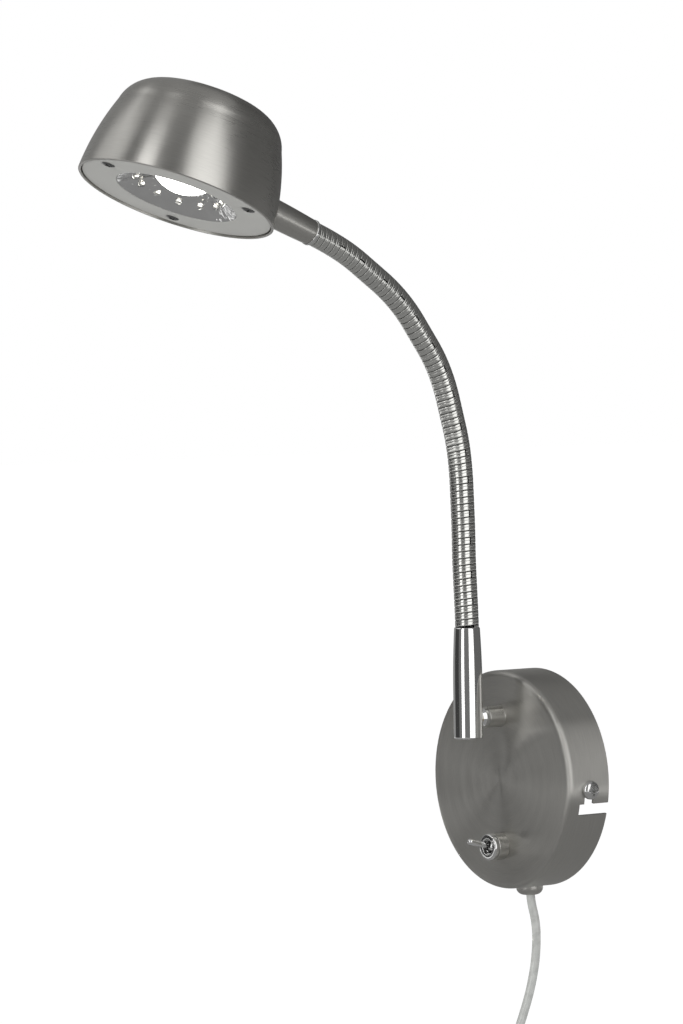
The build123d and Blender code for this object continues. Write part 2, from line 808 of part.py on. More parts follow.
def make_led_driver():
    box = Pos(*driver_place) * Box(*driver_size)
    return fillet(box.edges().filter_by(Axis.Y), 2.0)


def make_terminal_block():
    block = Pos(*block_place) * Box(*block_size)
    for side in (-1, 1):
        x = block_place[0] + side * block_size[0] / 4
        top = block_place[1] + block_size[1] / 2
        block -= Plane(origin=(x, top, block_place[2]), z_dir=(0, 1, 0)) * Cylinder(1.7, 4)
        mouth = Plane(origin=(x, block_place[1], block_place[2]), z_dir=(0, 0, 1))
        block -= mouth * Cylinder(wire_radius + 0.1, block_size[2] + 1)
    return block


def make_canopy_wires():
    """Leads from the cord's end to the connector and on to the switch, driver and arm."""
    x0, y0, z0 = block_place
    low = z0 - block_size[2] / 2
    high = z0 + block_size[2] / 2
    quarter = block_size[0] / 4
    cord_top = -canopy_radius + cord_bushing_inside
    blade_x = switch_case[0] * switch_blade_share
    blade_y = face_y + canopy_wall + 2.0 + switch_case[2] + 2.2
    sink = driver_place[2] - driver_size[2] / 2
    arm_y = face_y + canopy_wall + nipple_inside + 0.1
    roof = driver_place[2] + driver_size[2] / 2
    routes = (
        ((1.0, cord_bushing_y, cord_top), (1.0, cord_bushing_y, cord_top + 3), (4.0, -7.5, -36.0),
         (15.0, -9.0, -27.0), (24.0, -12.0, -14.0), (x0 - quarter, y0, low - 6), (x0 - quarter, y0, low)),
        ((-1.0, cord_bushing_y, cord_top), (-1.0, cord_bushing_y, cord_top + 3), (-2.6, -6.0, -36.0),
         (-blade_x, blade_y + 4.0, switch_height - 1.0), (-blade_x, blade_y + 0.1, switch_height - 1.0)),
        ((blade_x, blade_y + 0.1, switch_height + 1.0), (blade_x, blade_y + 4.0, switch_height + 1.0),
         (6.0, -6.4, -23.0), (10.0, -9.0, -15.0), (10.0, -13.4, sink - 4.5), (10.0, -13.4, sink)),
        ((-14.0, -14.0, roof), (-14.0, -14.0, roof + 3.5), (-10.0, -11.0, 24.0),
         (-2.5, arm_y + 3.4, arm_height - 1.0), (-1.0, arm_y + 2.6, arm_height), (-1.0, arm_y, arm_height)),
        ((x0 + quarter, y0, high), (x0 + quarter, y0, high + 4), (23.0, -12.0, 28.0),
         (10.0, -9.5, 31.0), (1.0, arm_y + 3.0, arm_height), (1.0, arm_y, arm_height)),
    )
    return [tube_along(route, wire_radius)[0] for route in routes]


def make_head_wires():
    """Leads from the collar's bore to the ring board and to the cooled centre light."""
    stud_end = collar_nut_seat + nut_height + 0.5
    reach = shell_radius(collar_height) + collar_length - stud_end
    height = collar_height
    edge = sink_radius + 0.1
    board_top = board_height + board_thickness
    routes = (
        ((-1.0, reach, height), (-1.0, reach - 3, height), (-2.5, board_outer + 1.0, height - 1.5),
         (-3.0, board_outer - 3.0, board_top + 2.6), (-3.0, board_outer - 3.0, board_top)),
        ((1.0, reach, height), (1.0, reach - 3, height),
         (2.2, edge + 3.0, height + 1.6), (2.2, edge, height + 1.6)),
    )
    return [HEAD * tube_along(route, wire_radius)[0] for route in routes]


# ---------------------------------------------------------------- the lead
def make_cord_bushing():
    low = -cord_bushing_proud
    high = cord_bushing_inside
    bore = cord_radius + cord_clearance
    outer = cord_bushing_radius
    neck = cord_bushing_neck
    body = turned_edges(
        straight((bore, low), (outer * 0.42, low)),
        arc((outer * 0.42, low), (outer * 0.86, low * 0.7), (outer, -0.9)),
        straight((outer, -0.9), (outer, 0)),
        straight((outer, 0), (neck, 0)),
        straight((neck, 0), (neck, high)),
        straight((neck, high), (bore, high)),
        straight((bore, high), (bore, low)),
    )
    return Pos(0, cord_bushing_y, -canopy_radius) * body


def make_bushing_nut():
    nut = hex_nut(12.0, 3.0, cord_bushing_neck + 0.02)
    return Pos(0, cord_bushing_y, -canopy_radius + canopy_wall + 0.6) * nut


COIL_DOWN = Vector(sin(radians(coil_turn)), 0, -cos(radians(coil_turn)))
COIL_OUT = Vector(cos(radians(coil_turn)), 0, sin(radians(coil_turn)))
coil_centre = coil_start - COIL_OUT * coil_outer


def cord_route():
    """The lead's free stretch, from inside the bushing to the coil's first turn."""
    end = coil_start - COIL_DOWN * (2 * cord_radius)
    return [
        (0.0, cord_bushing_y, -canopy_radius + cord_bushing_inside),
        (0.0, cord_bushing_y, -55.5),
        (1.6, -4.6, -66.5),
        (1.5, -4.5, -80.5),
        (-0.2, -6.4, -96.0),
        (-1.9, -10.4, -110.0),
        (-3.2, -14.8, -121.5),
        (-2.8, -18.2, -133.0),
        tuple(end - COIL_DOWN * 10.0),
        tuple(end),
    ]


def coil_steps_radii():
    """Radius and layer of the coil's centre line at each half turn, in and out in turn."""
    stations = [(coil_outer, 0)]
    radius = coil_outer
    for layer, steps in enumerate(coil_steps):
        inward = -1 if layer % 2 == 0 else 1
        for _ in range(steps):
            radius += inward * coil_pitch / 2
            stations.append((radius, layer))
        if layer + 1 < len(coil_steps):
            stations.append((radius, layer + 1))
    return stations


def coil_station(index, radius, layer):
    """Point of a half turn's end: every second one is across the coil."""
    side = 1 if index % 2 == 0 else -1
    return coil_centre + COIL_OUT * (side * radius) + Vector(0, 1, 0) * (layer * coil_pitch)


def coil_path():
    """The coil's half turns as arcs: each starts and ends square to the line across the coil."""
    stations = [coil_station(i, *s) for i, s in enumerate(coil_steps_radii())]
    arcs = []
    for index, (a, b) in enumerate(zip(stations, stations[1:])):
        travel = COIL_DOWN if index % 2 == 0 else -COIL_DOWN
        middle = (a + b) * 0.5 + travel * ((b - a).length / 2)
        arcs.append(ThreePointArc(a, middle, b))
    return arcs, stations


def least_gap(arcs, radius, per_arc):
    """Least distance between the tube's surface and itself, a turn away or more, on points."""
    points = [edge @ (i / per_arc) for edge in arcs for i in range(per_arc)]
    apart = per_arc + per_arc // 2
    least = 1e9
    for i, a in enumerate(points):
        for b in points[i + apart:]:
            least = min(least, (a - b).length)
    return least - 2 * radius


def make_cord_coil():
    arcs, stations = coil_path()
    start_run = Line(stations[0] - COIL_DOWN * (2 * cord_radius), stations[0])
    end_run = Line(stations[-1], stations[-1] + COIL_DOWN * (2 * cord_radius))
    path = Wire([start_run] + arcs + [end_run])
    section = Plane(origin=path @ 0, z_dir=path % 0) * Circle(cord_radius)
    solid = sweep(section, path=path)
    gap = least_gap(arcs, cord_radius, 12)
    print("coil: turns", len(arcs) / 2, "length", round(path.length, 1), "least gap", round(gap, 2))
    print("coil: volume ratio", round(solid.volume / (pi * cord_radius ** 2 * path.length), 4))
    return solid


def coil_end():
    return coil_path()[1][-1] + COIL_DOWN * (2 * cord_radius)


PLUG_TOP = Vector(22.7, -9.8, -211.0)


def tail_route():
    """The lead's last stretch, from the coil to the plug."""
    start = coil_end()
    return [
        tuple(start),
        tuple(start + COIL_DOWN * 8.0),
        (19.0, -6.0, -177.0),
        (21.8, -8.4, -191.0),
        (22.7, -9.8, -202.0),
        tuple(PLUG_TOP),
    ]


def lead_along(name, route):
    """The lead's tube along a route, with its bends, length and volume ratio printed."""
    radii = bend_radii(route)
    print(name, "bend radii", [round(r, 1) for r in radii])
    solid, length = tube_along(route, cord_radius, radii)
    ratio = solid.volume / (pi * cord_radius ** 2 * length)
    print(name, "length", round(length, 1), "volume ratio", round(ratio, 4))
    return solid


def make_cord():
    return lead_along("cord:", cord_route())


def make_cord_tail():
    return lead_along("tail:", tail_route())


def make_cord_tie():
    """Flat strap round the bundle of turns, across the coil's upper left."""
    smallest = min(radius for radius, _ in coil_steps_radii())
    low = smallest - cord_radius - 0.8
    high = coil_outer + cord_radius + 0.3
    front = coil_start.Y - cord_radius - 0.3
    back = coil_start.Y + (len(coil_steps) - 1) * coil_pitch + cord_radius + 0.3
    place = Plane(origin=coil_centre, x_dir=-COIL_DOWN, z_dir=COIL_OUT)
    size = (high - low, back - front)
    middle = (front + back) / 2 - coil_centre.Y
    outer_box = Box(size[0] + 2 * tie_thickness, size[1] + 2 * tie_thickness, tie_width)
    inner_box = Box(size[0], size[1], tie_width + 1)
    outer_box = fillet(outer_box.edges().filter_by(Axis.Z), 2.4)
    inner_box = fillet(inner_box.edges().filter_by(Axis.Z), 1.5)
    side = place.y_dir.Y
    return place * Pos((low + high) / 2, middle * side, 0) * (outer_box - inner_box)


def make_plug_body():
    neck = Pos(0, 0, -plug_neck / 2) * Cone(cord_radius + plug_neck_flare, cord_radius + 0.9, plug_neck)
    body = Pos(0, 0, -plug_neck) * Box(
        plug_width, plug_thickness, plug_height, align=(Align.CENTER, Align.CENTER, Align.MAX)
    )
    body = fillet(body.edges().filter_by(Axis.Z), plug_thickness * 0.42)
    body = fillet(body.faces().sort_by(Axis.Z)[-1].edges(), 3.0)
    grip = Pos(0, 0, -plug_neck - plug_height * 0.42)
    for side in (-1, 1):
        for i in range(4):
            rib = grip * Pos(side * plug_width / 2, 0, -3.2 * i) * Box(1.2, plug_thickness, 1.2)
            body -= rib
    return Location(PLUG_TOP) * (neck + body)


def make_plug_pins():
    base = -plug_neck - plug_height
    pin = rod(pin_radius, -pin_length, 0)
    pin = fillet(pin.faces().sort_by(Axis.Z)[0].edges(), pin_radius * 0.6)
    return [Location(PLUG_TOP) * Pos(side * pin_spacing / 2, 0, base) * pin for side in (-1, 1)]


# ---------------------------------------------------------------- the whole lamp
def group(pieces):
    return Compound(children=list(pieces))


def all_nodes():
    nodes = {
        "wall_bracket": make_wall_bracket(),
        "side_screws": group(make_side_screws()),
        "canopy_cover": make_canopy_cover(),
        "spacer_barrel": make_spacer_barrel(),
        "spacer_ring": make_spacer_ring(),
        "neck_nipple": make_neck_nipple(),
        "nipple_washer": make_nipple_washer(),
        "nipple_nut": make_nipple_nut(),
        "base_tube": make_base_tube(),
        "tube_plug": make_tube_plug(),
        "switch_barrel": make_switch_barrel(),
        "switch_cap": make_switch_cap(),
        "switch_bushing": make_switch_bushing(),
        "switch_nut": make_switch_nut(),
        "switch_body": make_switch_body(),
        "switch_lever": make_switch_lever(),
        "led_driver": make_led_driver(),
        "terminal_block": make_terminal_block(),
        "canopy_wires": group(make_canopy_wires()),
    }
    nodes["neck_root"] = make_neck_root()
    for index in range(link_count):
        nodes[f"neck_link_{index + 1:02d}"] = make_link(PLACES[index])
    nodes["neck_tip"] = make_neck_tip(TIP)
    nodes.update(
        {
            "head_collar": make_head_collar(),
            "collar_ring": make_collar_ring(),
            "collar_washer": make_collar_washer(),
            "collar_nut": make_collar_nut(),
            "head_shell": make_head_shell(),
            "face_plate": make_face_plate(),
            "plate_screws": group(make_plate_screws()),
            "shell_lugs": group(make_shell_lugs()),
            "reflector": make_reflector(),
            "led_board": make_led_board(),
            "led_domes": group(make_led_domes()),
            "centre_light": make_centre_light(),
            "heat_sink": make_heat_sink(),
            "head_wires": group(make_head_wires()),
            "cord_bushing": make_cord_bushing(),
            "bushing_nut": make_bushing_nut(),
            "cord": make_cord(),
            "cord_coil": make_cord_coil(),
            "cord_tie": make_cord_tie(),
            "cord_tail": make_cord_tail(),
            "plug_body": make_plug_body(),
            "plug_pins": group(make_plug_pins()),
        }
    )
    return nodes


os.makedirs("parts", exist_ok=True)
for name, shape in all_nodes().items():
    export_step(shape, f"parts/{name}.step")
print("head centre", head_centre, "tilt", round(90 - LAST_ANGLE, 2))
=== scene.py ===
"""Looks of a bedside wall reading lamp: brushed canopy, toggle switch, wound flexible neck and spun head.

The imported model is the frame.  Positions follow its joints and boxes, lengths are written in millimetres
and turned into metres when a mesh is made.
"""
import json
import logging
import math
from dataclasses import dataclass, field
from enum import Enum
from typing import Sequence

import bmesh
import bpy
from mathutils import Matrix, Vector


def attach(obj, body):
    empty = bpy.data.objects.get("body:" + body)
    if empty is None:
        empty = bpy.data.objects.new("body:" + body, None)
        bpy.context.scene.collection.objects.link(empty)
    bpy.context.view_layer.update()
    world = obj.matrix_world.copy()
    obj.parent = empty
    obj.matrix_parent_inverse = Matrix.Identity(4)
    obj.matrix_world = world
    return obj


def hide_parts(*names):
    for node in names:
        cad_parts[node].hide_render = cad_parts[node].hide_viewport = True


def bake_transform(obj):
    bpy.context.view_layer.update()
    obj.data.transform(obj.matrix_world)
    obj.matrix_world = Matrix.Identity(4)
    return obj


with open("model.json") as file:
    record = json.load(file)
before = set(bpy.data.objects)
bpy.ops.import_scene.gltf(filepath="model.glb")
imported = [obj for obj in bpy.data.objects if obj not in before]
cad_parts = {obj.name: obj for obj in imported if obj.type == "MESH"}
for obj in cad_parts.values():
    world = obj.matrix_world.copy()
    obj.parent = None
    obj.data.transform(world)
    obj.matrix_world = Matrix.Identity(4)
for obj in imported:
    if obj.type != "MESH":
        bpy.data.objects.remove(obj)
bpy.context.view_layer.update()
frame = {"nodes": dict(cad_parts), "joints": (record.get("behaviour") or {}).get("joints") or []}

LOG = logging.getLogger("lamp")
MM = 0.001
Point = tuple[float, float]
Colour = tuple[float, float, float]

CANOPY_RADIUS = 50.0
CANOPY_DEPTH = 23.2
NECK_TIP = 9.625
ON_AXIS = 1e-6


class Body(Enum):
    """CAD body that a rigid piece rides on."""

    CANOPY = "canopy"
    HEAD = "head"
    LEVER = "switch_lever"


# ------------------------------------------------------------------------------------------ outlines
def arc(start: Point, middle: Point, end: Point, steps: int) -> list[Point]:
    """Points of the arc through three points, without its last point.

    Args:
        start: First point, as (radius, height).
        middle: A point on the arc between the ends.
        end: Last point, which is left out.
        steps: Number of chords.

    Returns:
        The points from start up to the one before end.
    """
    (ax, ay), (bx, by), (cx, cy) = start, middle, end
    d = 2 * (ax * (by - cy) + bx * (cy - ay) + cx * (ay - by))
    sa, sb, sc = ax * ax + ay * ay, bx * bx + by * by, cx * cx + cy * cy
    ox = (sa * (by - cy) + sb * (cy - ay) + sc * (ay - by)) / d
    oy = (sa * (cx - bx) + sb * (ax - cx) + sc * (bx - ax)) / d
    first = math.atan2(ay - oy, ax - ox)
    last = math.atan2(cy - oy, cx - ox)
    halfway = math.atan2(by - oy, bx - ox)
    full = 2 * math.pi
    if (halfway - first) % full > (last - first) % full:
        turn = -((first - last) % full)
    else:
        turn = (last - first) % full
    radius = math.hypot(ax - ox, ay - oy)
    return [
        (ox + radius * math.cos(first + turn * i / steps), oy + radius * math.sin(first + turn * i / steps))
        for i in range(steps)
    ]


def rounded(corners: Sequence[tuple[float, float, float]], steps: int = 5) -> list[Point]:
    """Closed outline whose corners are rounded, with support points beside each rounding.

    Args:
        corners: (radius, height, rounding) for each corner, in order.
        steps: Chords in each rounding.

    Returns:
        The outline's points.
    """
    outline: list[Point] = []
    count = len(corners)
    for i, (x, y, fillet) in enumerate(corners):
        here = Vector((x, y))
        before = (Vector(corners[i - 1][:2]) - here)
        after = (Vector(corners[(i + 1) % count][:2]) - here)
        if fillet <= 0:
            outline.append((x, y))
            continue
        turn = math.pi - before.angle(after)
        reach = min(fillet * math.tan(turn / 2), before.length * 0.48, after.length * 0.48)
        start = here + before.normalized() * reach
        end = here + after.normalized() * reach
        support = reach * 0.35
        if before.length > 4 * reach:
            outline.append(tuple(start + before.normalized() * support))
        for k in range(steps + 1):
            share = k / steps
            outline.append(tuple(start.lerp(here, share).lerp(here.lerp(end, share), share)))
        if after.length > 4 * reach:
            outline.append(tuple(end + after.normalized() * support))
    return outline


def place(origin: Sequence[float], z_dir: Sequence[float], x_dir: Sequence[float] = (1, 0, 0)) -> Matrix:
    """Matrix of a place whose origin is in millimetres.

    Args:
        origin: The place's origin in the lamp's frame, in millimetres.
        z_dir: Direction of the place's own Z axis.
        x_dir: Direction of its X axis, square to z_dir.

    Returns:
        A 4 by 4 matrix in metres.
    """
    z = Vector(z_dir).normalized()
    x = Vector(x_dir).normalized()
    y = z.cross(x)
    matrix = Matrix((x, y, z)).transposed().to_4x4()
    matrix.translation = Vector(origin) * MM
    return matrix


# -------------------------------------------------------------------------------------------- meshes
def new_object(name: str, mesh: bpy.types.Mesh, at: Matrix | None = None) -> bpy.types.Object:
    """Links a mesh into the scene.

    Args:
        name: The object's name.
        mesh: Its mesh.
        at: Its place, or None to leave it at the frame's origin.

    Returns:
        The new object.
    """
    piece = bpy.data.objects.new(name, mesh)
    bpy.context.scene.collection.objects.link(piece)
    if at is not None:
        piece.matrix_world = at
    return piece


def smooth(mesh: bpy.types.Mesh, sharp_degrees: float = 40.0) -> None:
    """Shades a mesh smooth, apart from its sharp edges.

    Args:
        mesh: The mesh.
        sharp_degrees: Angle from which an edge stays sharp.
    """
    mesh.polygons.foreach_set("use_smooth", [True] * len(mesh.polygons))
    mesh.set_sharp_from_angle(angle=math.radians(sharp_degrees))


def lathe(name: str, outline: Sequence[Point], at: Matrix, segments: int = 96) -> bpy.types.Object:
    """Turned piece: a closed outline of (radius, height) in millimetres, carried round its own Z axis.

    Args:
        name: The piece's name.
        outline: Closed outline; points on the axis become one vertex each.
        at: Place of the piece.
        segments: Facets round the axis.

    Returns:
        The new object.
    """
    shape = bmesh.new()
    rings: list[list[bmesh.types.BMVert]] = []
    for radius, height in outline:
        if radius < ON_AXIS:
            rings.append([shape.verts.new((0, 0, height * MM))])
            continue
        ring = []
        for k in range(segments):
            turn = 2 * math.pi * k / segments
            spot = (radius * MM * math.cos(turn), radius * MM * math.sin(turn), height * MM)
            ring.append(shape.verts.new(spot))
        rings.append(ring)
    for ring, following in zip(rings, rings[1:] + rings[:1]):
        for k in range(segments):
            j = (k + 1) % segments
            if len(ring) > 1 and len(following) > 1:
                shape.faces.new((ring[k], ring[j], following[j], following[k]))
            elif len(ring) > 1:
                shape.faces.new((ring[k], ring[j], following[0]))
            elif len(following) > 1:
                shape.faces.new((ring[0], following[j], following[k]))
    bmesh.ops.recalc_face_normals(shape, faces=shape.faces)
    mesh = bpy.data.meshes.new(name)
    shape.to_mesh(mesh)
    shape.free()
    smooth(mesh)
    return new_object(name, mesh, at)


def block(name: str, size: Sequence[float], at: Matrix) -> bpy.types.Object:
    """Box that is used to cut other pieces.

    Args:
        name: The object's name.
        size: Its three sizes in millimetres.
        at: Place of its centre.

    Returns:
        The new object.
    """
    shape = bmesh.new()
    bmesh.ops.create_cube(shape, size=1.0)
    bmesh.ops.scale(shape, vec=Vector(size) * MM, verts=shape.verts)
    mesh = bpy.data.meshes.new(name)
    shape.to_mesh(mesh)
    shape.free()
    return new_object(name, mesh, at)


def carve(piece: bpy.types.Object, cutters: Sequence[bpy.types.Object]) -> None:
    """Cuts solids out of a piece and removes them.

    Args:
        piece: The piece to cut.
        cutters: The solids, which are deleted afterwards.
    """
    for cutter in cutters:
        modifier = piece.modifiers.new("cut", "BOOLEAN")
        modifier.operation = "DIFFERENCE"
        modifier.solver = "EXACT"
        modifier.object = cutter
    graph = bpy.context.evaluated_depsgraph_get()
    carved = bpy.data.meshes.new_from_object(piece.evaluated_get(graph))
    piece.modifiers.clear()
    piece.data = carved
    for cutter in cutters:
        bpy.data.objects.remove(cutter)
    smooth(carved)


# ------------------------------------------------------------------------------------ shader groups
class Nodes:
    """A node tree with short calls to add and join nodes."""

    def __init__(self, tree: bpy.types.NodeTree) -> None:
        """Keeps the tree."""
        self.tree = tree

    def add(self, kind: str, **settings: object) -> bpy.types.Node:
        """Adds a node.

        Args:
            kind: The node's type name.
            settings: Its properties.

        Returns:
            The node.
        """
        node = self.tree.nodes.new(kind)
        for key, value in settings.items():
            setattr(node, key, value)
        return node

    def join(self, source: bpy.types.NodeSocket, target: bpy.types.NodeSocket) -> None:
        """Links an output to an input."""
        self.tree.links.new(source, target)

    def math(self, operation: str, first: object, second: object = None) -> bpy.types.NodeSocket:
        """Adds a math node.

        Args:
            operation: The operation's name.
            first: First socket or number.
            second: Second socket or number, if it has one.

        Returns:
            The node's output.
        """
        node = self.add("ShaderNodeMath", operation=operation)
        for socket, value in zip(node.inputs, (first, second)):
            if isinstance(value, bpy.types.NodeSocket):
                self.join(value, socket)
            elif value is not None:
                socket.default_value = value
        return node.outputs[0]

    def span(self, value: bpy.types.NodeSocket, low: float, high: float, to_low: float, to_high: float
             ) -> bpy.types.NodeSocket:
        """Maps a value from one span to another, without leaving it.

        Args:
            value: The value's socket.
            low: Where the first span starts.
            high: Where it ends.
            to_low: Where the second span starts.
            to_high: Where it ends.

        Returns:
            The mapped value.
        """
        node = self.add("ShaderNodeMapRange")
        self.join(value, node.inputs["Value"])
        for key, number in (("From Min", low), ("From Max", high), ("To Min", to_low), ("To Max", to_high)):
            node.inputs[key].default_value = number
        return node.outputs["Result"]

    def tint(self, share: bpy.types.NodeSocket, first: Colour, second: Colour) -> bpy.types.NodeSocket:
        """Colour between two others.

        Args:
            share: Share of the second colour.
            first: The first colour.
            second: The second colour.

        Returns:
            The mixed colour.
        """
        node = self.add("ShaderNodeMix", data_type="RGBA")
        self.join(share, node.inputs["Factor"])
        node.inputs["A"].default_value = (*first, 1.0)
        node.inputs["B"].default_value = (*second, 1.0)
        return node.outputs["Result"]


class Effects:
    """Shader groups that several finishes share, each built once."""

    def __init__(self) -> None:
        """Starts with no group built."""
        self.turned_grain = self._turned_grain()
        self.smudges = self._smudges()

    @staticmethod
    def _group(name: str, inputs: dict[str, str], outputs: Sequence[str]) -> tuple[Nodes, dict, dict]:
        """Makes an empty group.

        Args:
            name: The group's name.
            inputs: Name and socket type of each input.
            outputs: Names of its float outputs.

        Returns:
            The node helper, the input sockets and the output sockets by name.
        """
        tree = bpy.data.node_groups.new(name, "ShaderNodeTree")
        for key, kind in inputs.items():
            tree.interface.new_socket(key, in_out="INPUT", socket_type=kind)
        for key in outputs:
            tree.interface.new_socket(key, in_out="OUTPUT", socket_type="NodeSocketFloat")
        nodes = Nodes(tree)
        enter = nodes.add("NodeGroupInput")
        leave = nodes.add("NodeGroupOutput")
        return nodes, {k: enter.outputs[k] for k in inputs}, {k: leave.inputs[k] for k in outputs}

    def _turned_grain(self) -> bpy.types.NodeTree:
        """Fine lines that run round the Z axis of the given position, as a lathe or a brush leaves them.

        Returns:
            The group's node tree.
        """
        kinds = {"Position": "NodeSocketVector", "Lines": "NodeSocketFloat", "Length": "NodeSocketFloat"}
        nodes, given, made = self._group("turned_grain", kinds, ("Grain", "Bands"))
        flat = nodes.add("ShaderNodeVectorMath", operation="MULTIPLY")
        nodes.join(given["Position"], flat.inputs[0])
        flat.inputs[1].default_value = (1, 1, 0)
        reach = nodes.add("ShaderNodeVectorMath", operation="LENGTH")
        nodes.join(flat.outputs[0], reach.inputs[0])
        around = nodes.add("ShaderNodeVectorMath", operation="NORMALIZE")
        nodes.join(flat.outputs[0], around.inputs[0])
        parts = nodes.add("ShaderNodeSeparateXYZ")
        nodes.join(around.outputs[0], parts.inputs[0])
        height = nodes.add("ShaderNodeSeparateXYZ")
        nodes.join(given["Position"], height.inputs[0])
        spot = nodes.add("ShaderNodeCombineXYZ")
        nodes.join(nodes.math("MULTIPLY", parts.outputs[0], given["Length"]), spot.inputs[0])
        nodes.join(nodes.math("MULTIPLY", parts.outputs[1], given["Length"]), spot.inputs[1])
        nodes.join(nodes.math("MULTIPLY", reach.outputs["Value"], given["Lines"]), spot.inputs[2])
        for key, detail, share in (("Grain", 3.0, 1.0), ("Bands", 1.0, 0.06)):
            noise = nodes.add("ShaderNodeTexNoise", noise_dimensions="4D")
            noise.inputs["Scale"].default_value = share
            noise.inputs["Detail"].default_value = detail
            nodes.join(spot.outputs[0], noise.inputs["Vector"])
            along = nodes.math("MULTIPLY", height.outputs[2], given["Lines"])
            nodes.join(nodes.math("MULTIPLY", along, share), noise.inputs["W"])
            nodes.join(noise.outputs["Fac"], made[key])
        return nodes.tree

    def _smudges(self) -> bpy.types.NodeTree:
        """Slow, cloudy changes over a surface and fine specks on it.

        Returns:
            The group's node tree.
        """
        kinds = {"Position": "NodeSocketVector", "Scale": "NodeSocketFloat"}
        nodes, given, made = self._group("smudges", kinds, ("Cloud", "Speck"))
        for key, detail, finer in (("Cloud", 3.0, 1.0), ("Speck", 2.0, 24.0)):
            noise = nodes.add("ShaderNodeTexNoise")
            nodes.join(given["Position"], noise.inputs["Vector"])
            nodes.join(nodes.math("MULTIPLY", given["Scale"], finer), noise.inputs["Scale"])
            noise.inputs["Detail"].default_value = detail
            nodes.join(noise.outputs["Fac"], made[key])
        return nodes.tree


def new_material(name: str) -> tuple[bpy.types.Material, Nodes, bpy.types.Node, bpy.types.NodeSocket]:
    """Empty material with its shader.

    Args:
        name: The material's name.

    Returns:
        The material, its node helper, its Principled shader and the object coordinates.
    """
    material = bpy.data.materials.new(name)
    material.use_nodes = True
    nodes = Nodes(material.node_tree)
    shader = material.node_tree.nodes["Principled BSDF"]
    position = nodes.add("ShaderNodeTexCoord").outputs["Object"]
    return material, nodes, shader, position


def use_group(nodes: Nodes, tree: bpy.types.NodeTree, position: bpy.types.NodeSocket, **values: float
              ) -> bpy.types.Node:
    """Places a shader group in a material.

    Args:
        nodes: The material's node helper.
        tree: The group.
        position: Position that the group works on.
        values: The group's other inputs, by name.

    Returns:
        The group's node.
    """
    node = nodes.add("ShaderNodeGroup")
    node.node_tree = tree
    nodes.join(position, node.inputs["Position"])
    for key, value in values.items():
        node.inputs[key].default_value = value
    return node


def shade(colour: Colour, share: float) -> Colour:
    """A colour made lighter or darker by a share."""
    return tuple(min(1.0, c * share) for c in colour)


@dataclass(frozen=True)
class TurnedMetal:
    """Spun, turned or round-brushed metal with lines round its own Z axis."""

    name: str
    colour: Colour
    roughness: float = 0.3
    anisotropy: float = 0.75
    lines: float = 5200.0
    length: float = 6.0
    tone: float = 0.10
    depth: float = 0.00002

    def build(self, effects: Effects) -> bpy.types.Material:
        """Makes the material.

        Args:
            effects: The shared shader groups.

        Returns:
            The material.
        """
        material, nodes, shader, position = new_material(self.name)
        grain = use_group(nodes, effects.turned_grain, position, Lines=self.lines, Length=self.length)
        smudge = use_group(nodes, effects.smudges, position, Scale=38.0)
        mixed = nodes.math("ADD", nodes.math("MULTIPLY", grain.outputs["Grain"], 0.7),
                           nodes.math("MULTIPLY", grain.outputs["Bands"], 0.3))
        share = nodes.span(mixed, 0.3, 0.7, 0.0, 1.0)
        nodes.join(nodes.tint(share, shade(self.colour, 1 - self.tone), shade(self.colour, 1 + self.tone)),
                   shader.inputs["Base Color"])
        worn = nodes.math("ADD", nodes.math("MULTIPLY", mixed, 0.16),
                          nodes.math("MULTIPLY", smudge.outputs["Cloud"], 0.10))
        nodes.join(nodes.math("ADD", worn, self.roughness - 0.13), shader.inputs["Roughness"])
        bump = nodes.add("ShaderNodeBump")
        bump.inputs["Strength"].default_value = 0.5
        bump.inputs["Distance"].default_value = self.depth
        nodes.join(grain.outputs["Grain"], bump.inputs["Height"])
        nodes.join(bump.outputs["Normal"], shader.inputs["Normal"])
        tangent = nodes.add("ShaderNodeTangent", direction_type="RADIAL", axis="Z")
        nodes.join(tangent.outputs[0], shader.inputs["Tangent"])
        shader.inputs["Metallic"].default_value = 1.0
        shader.inputs["Anisotropic"].default_value = self.anisotropy
        shader.inputs["Anisotropic Rotation"].default_value = 0.25
        return material


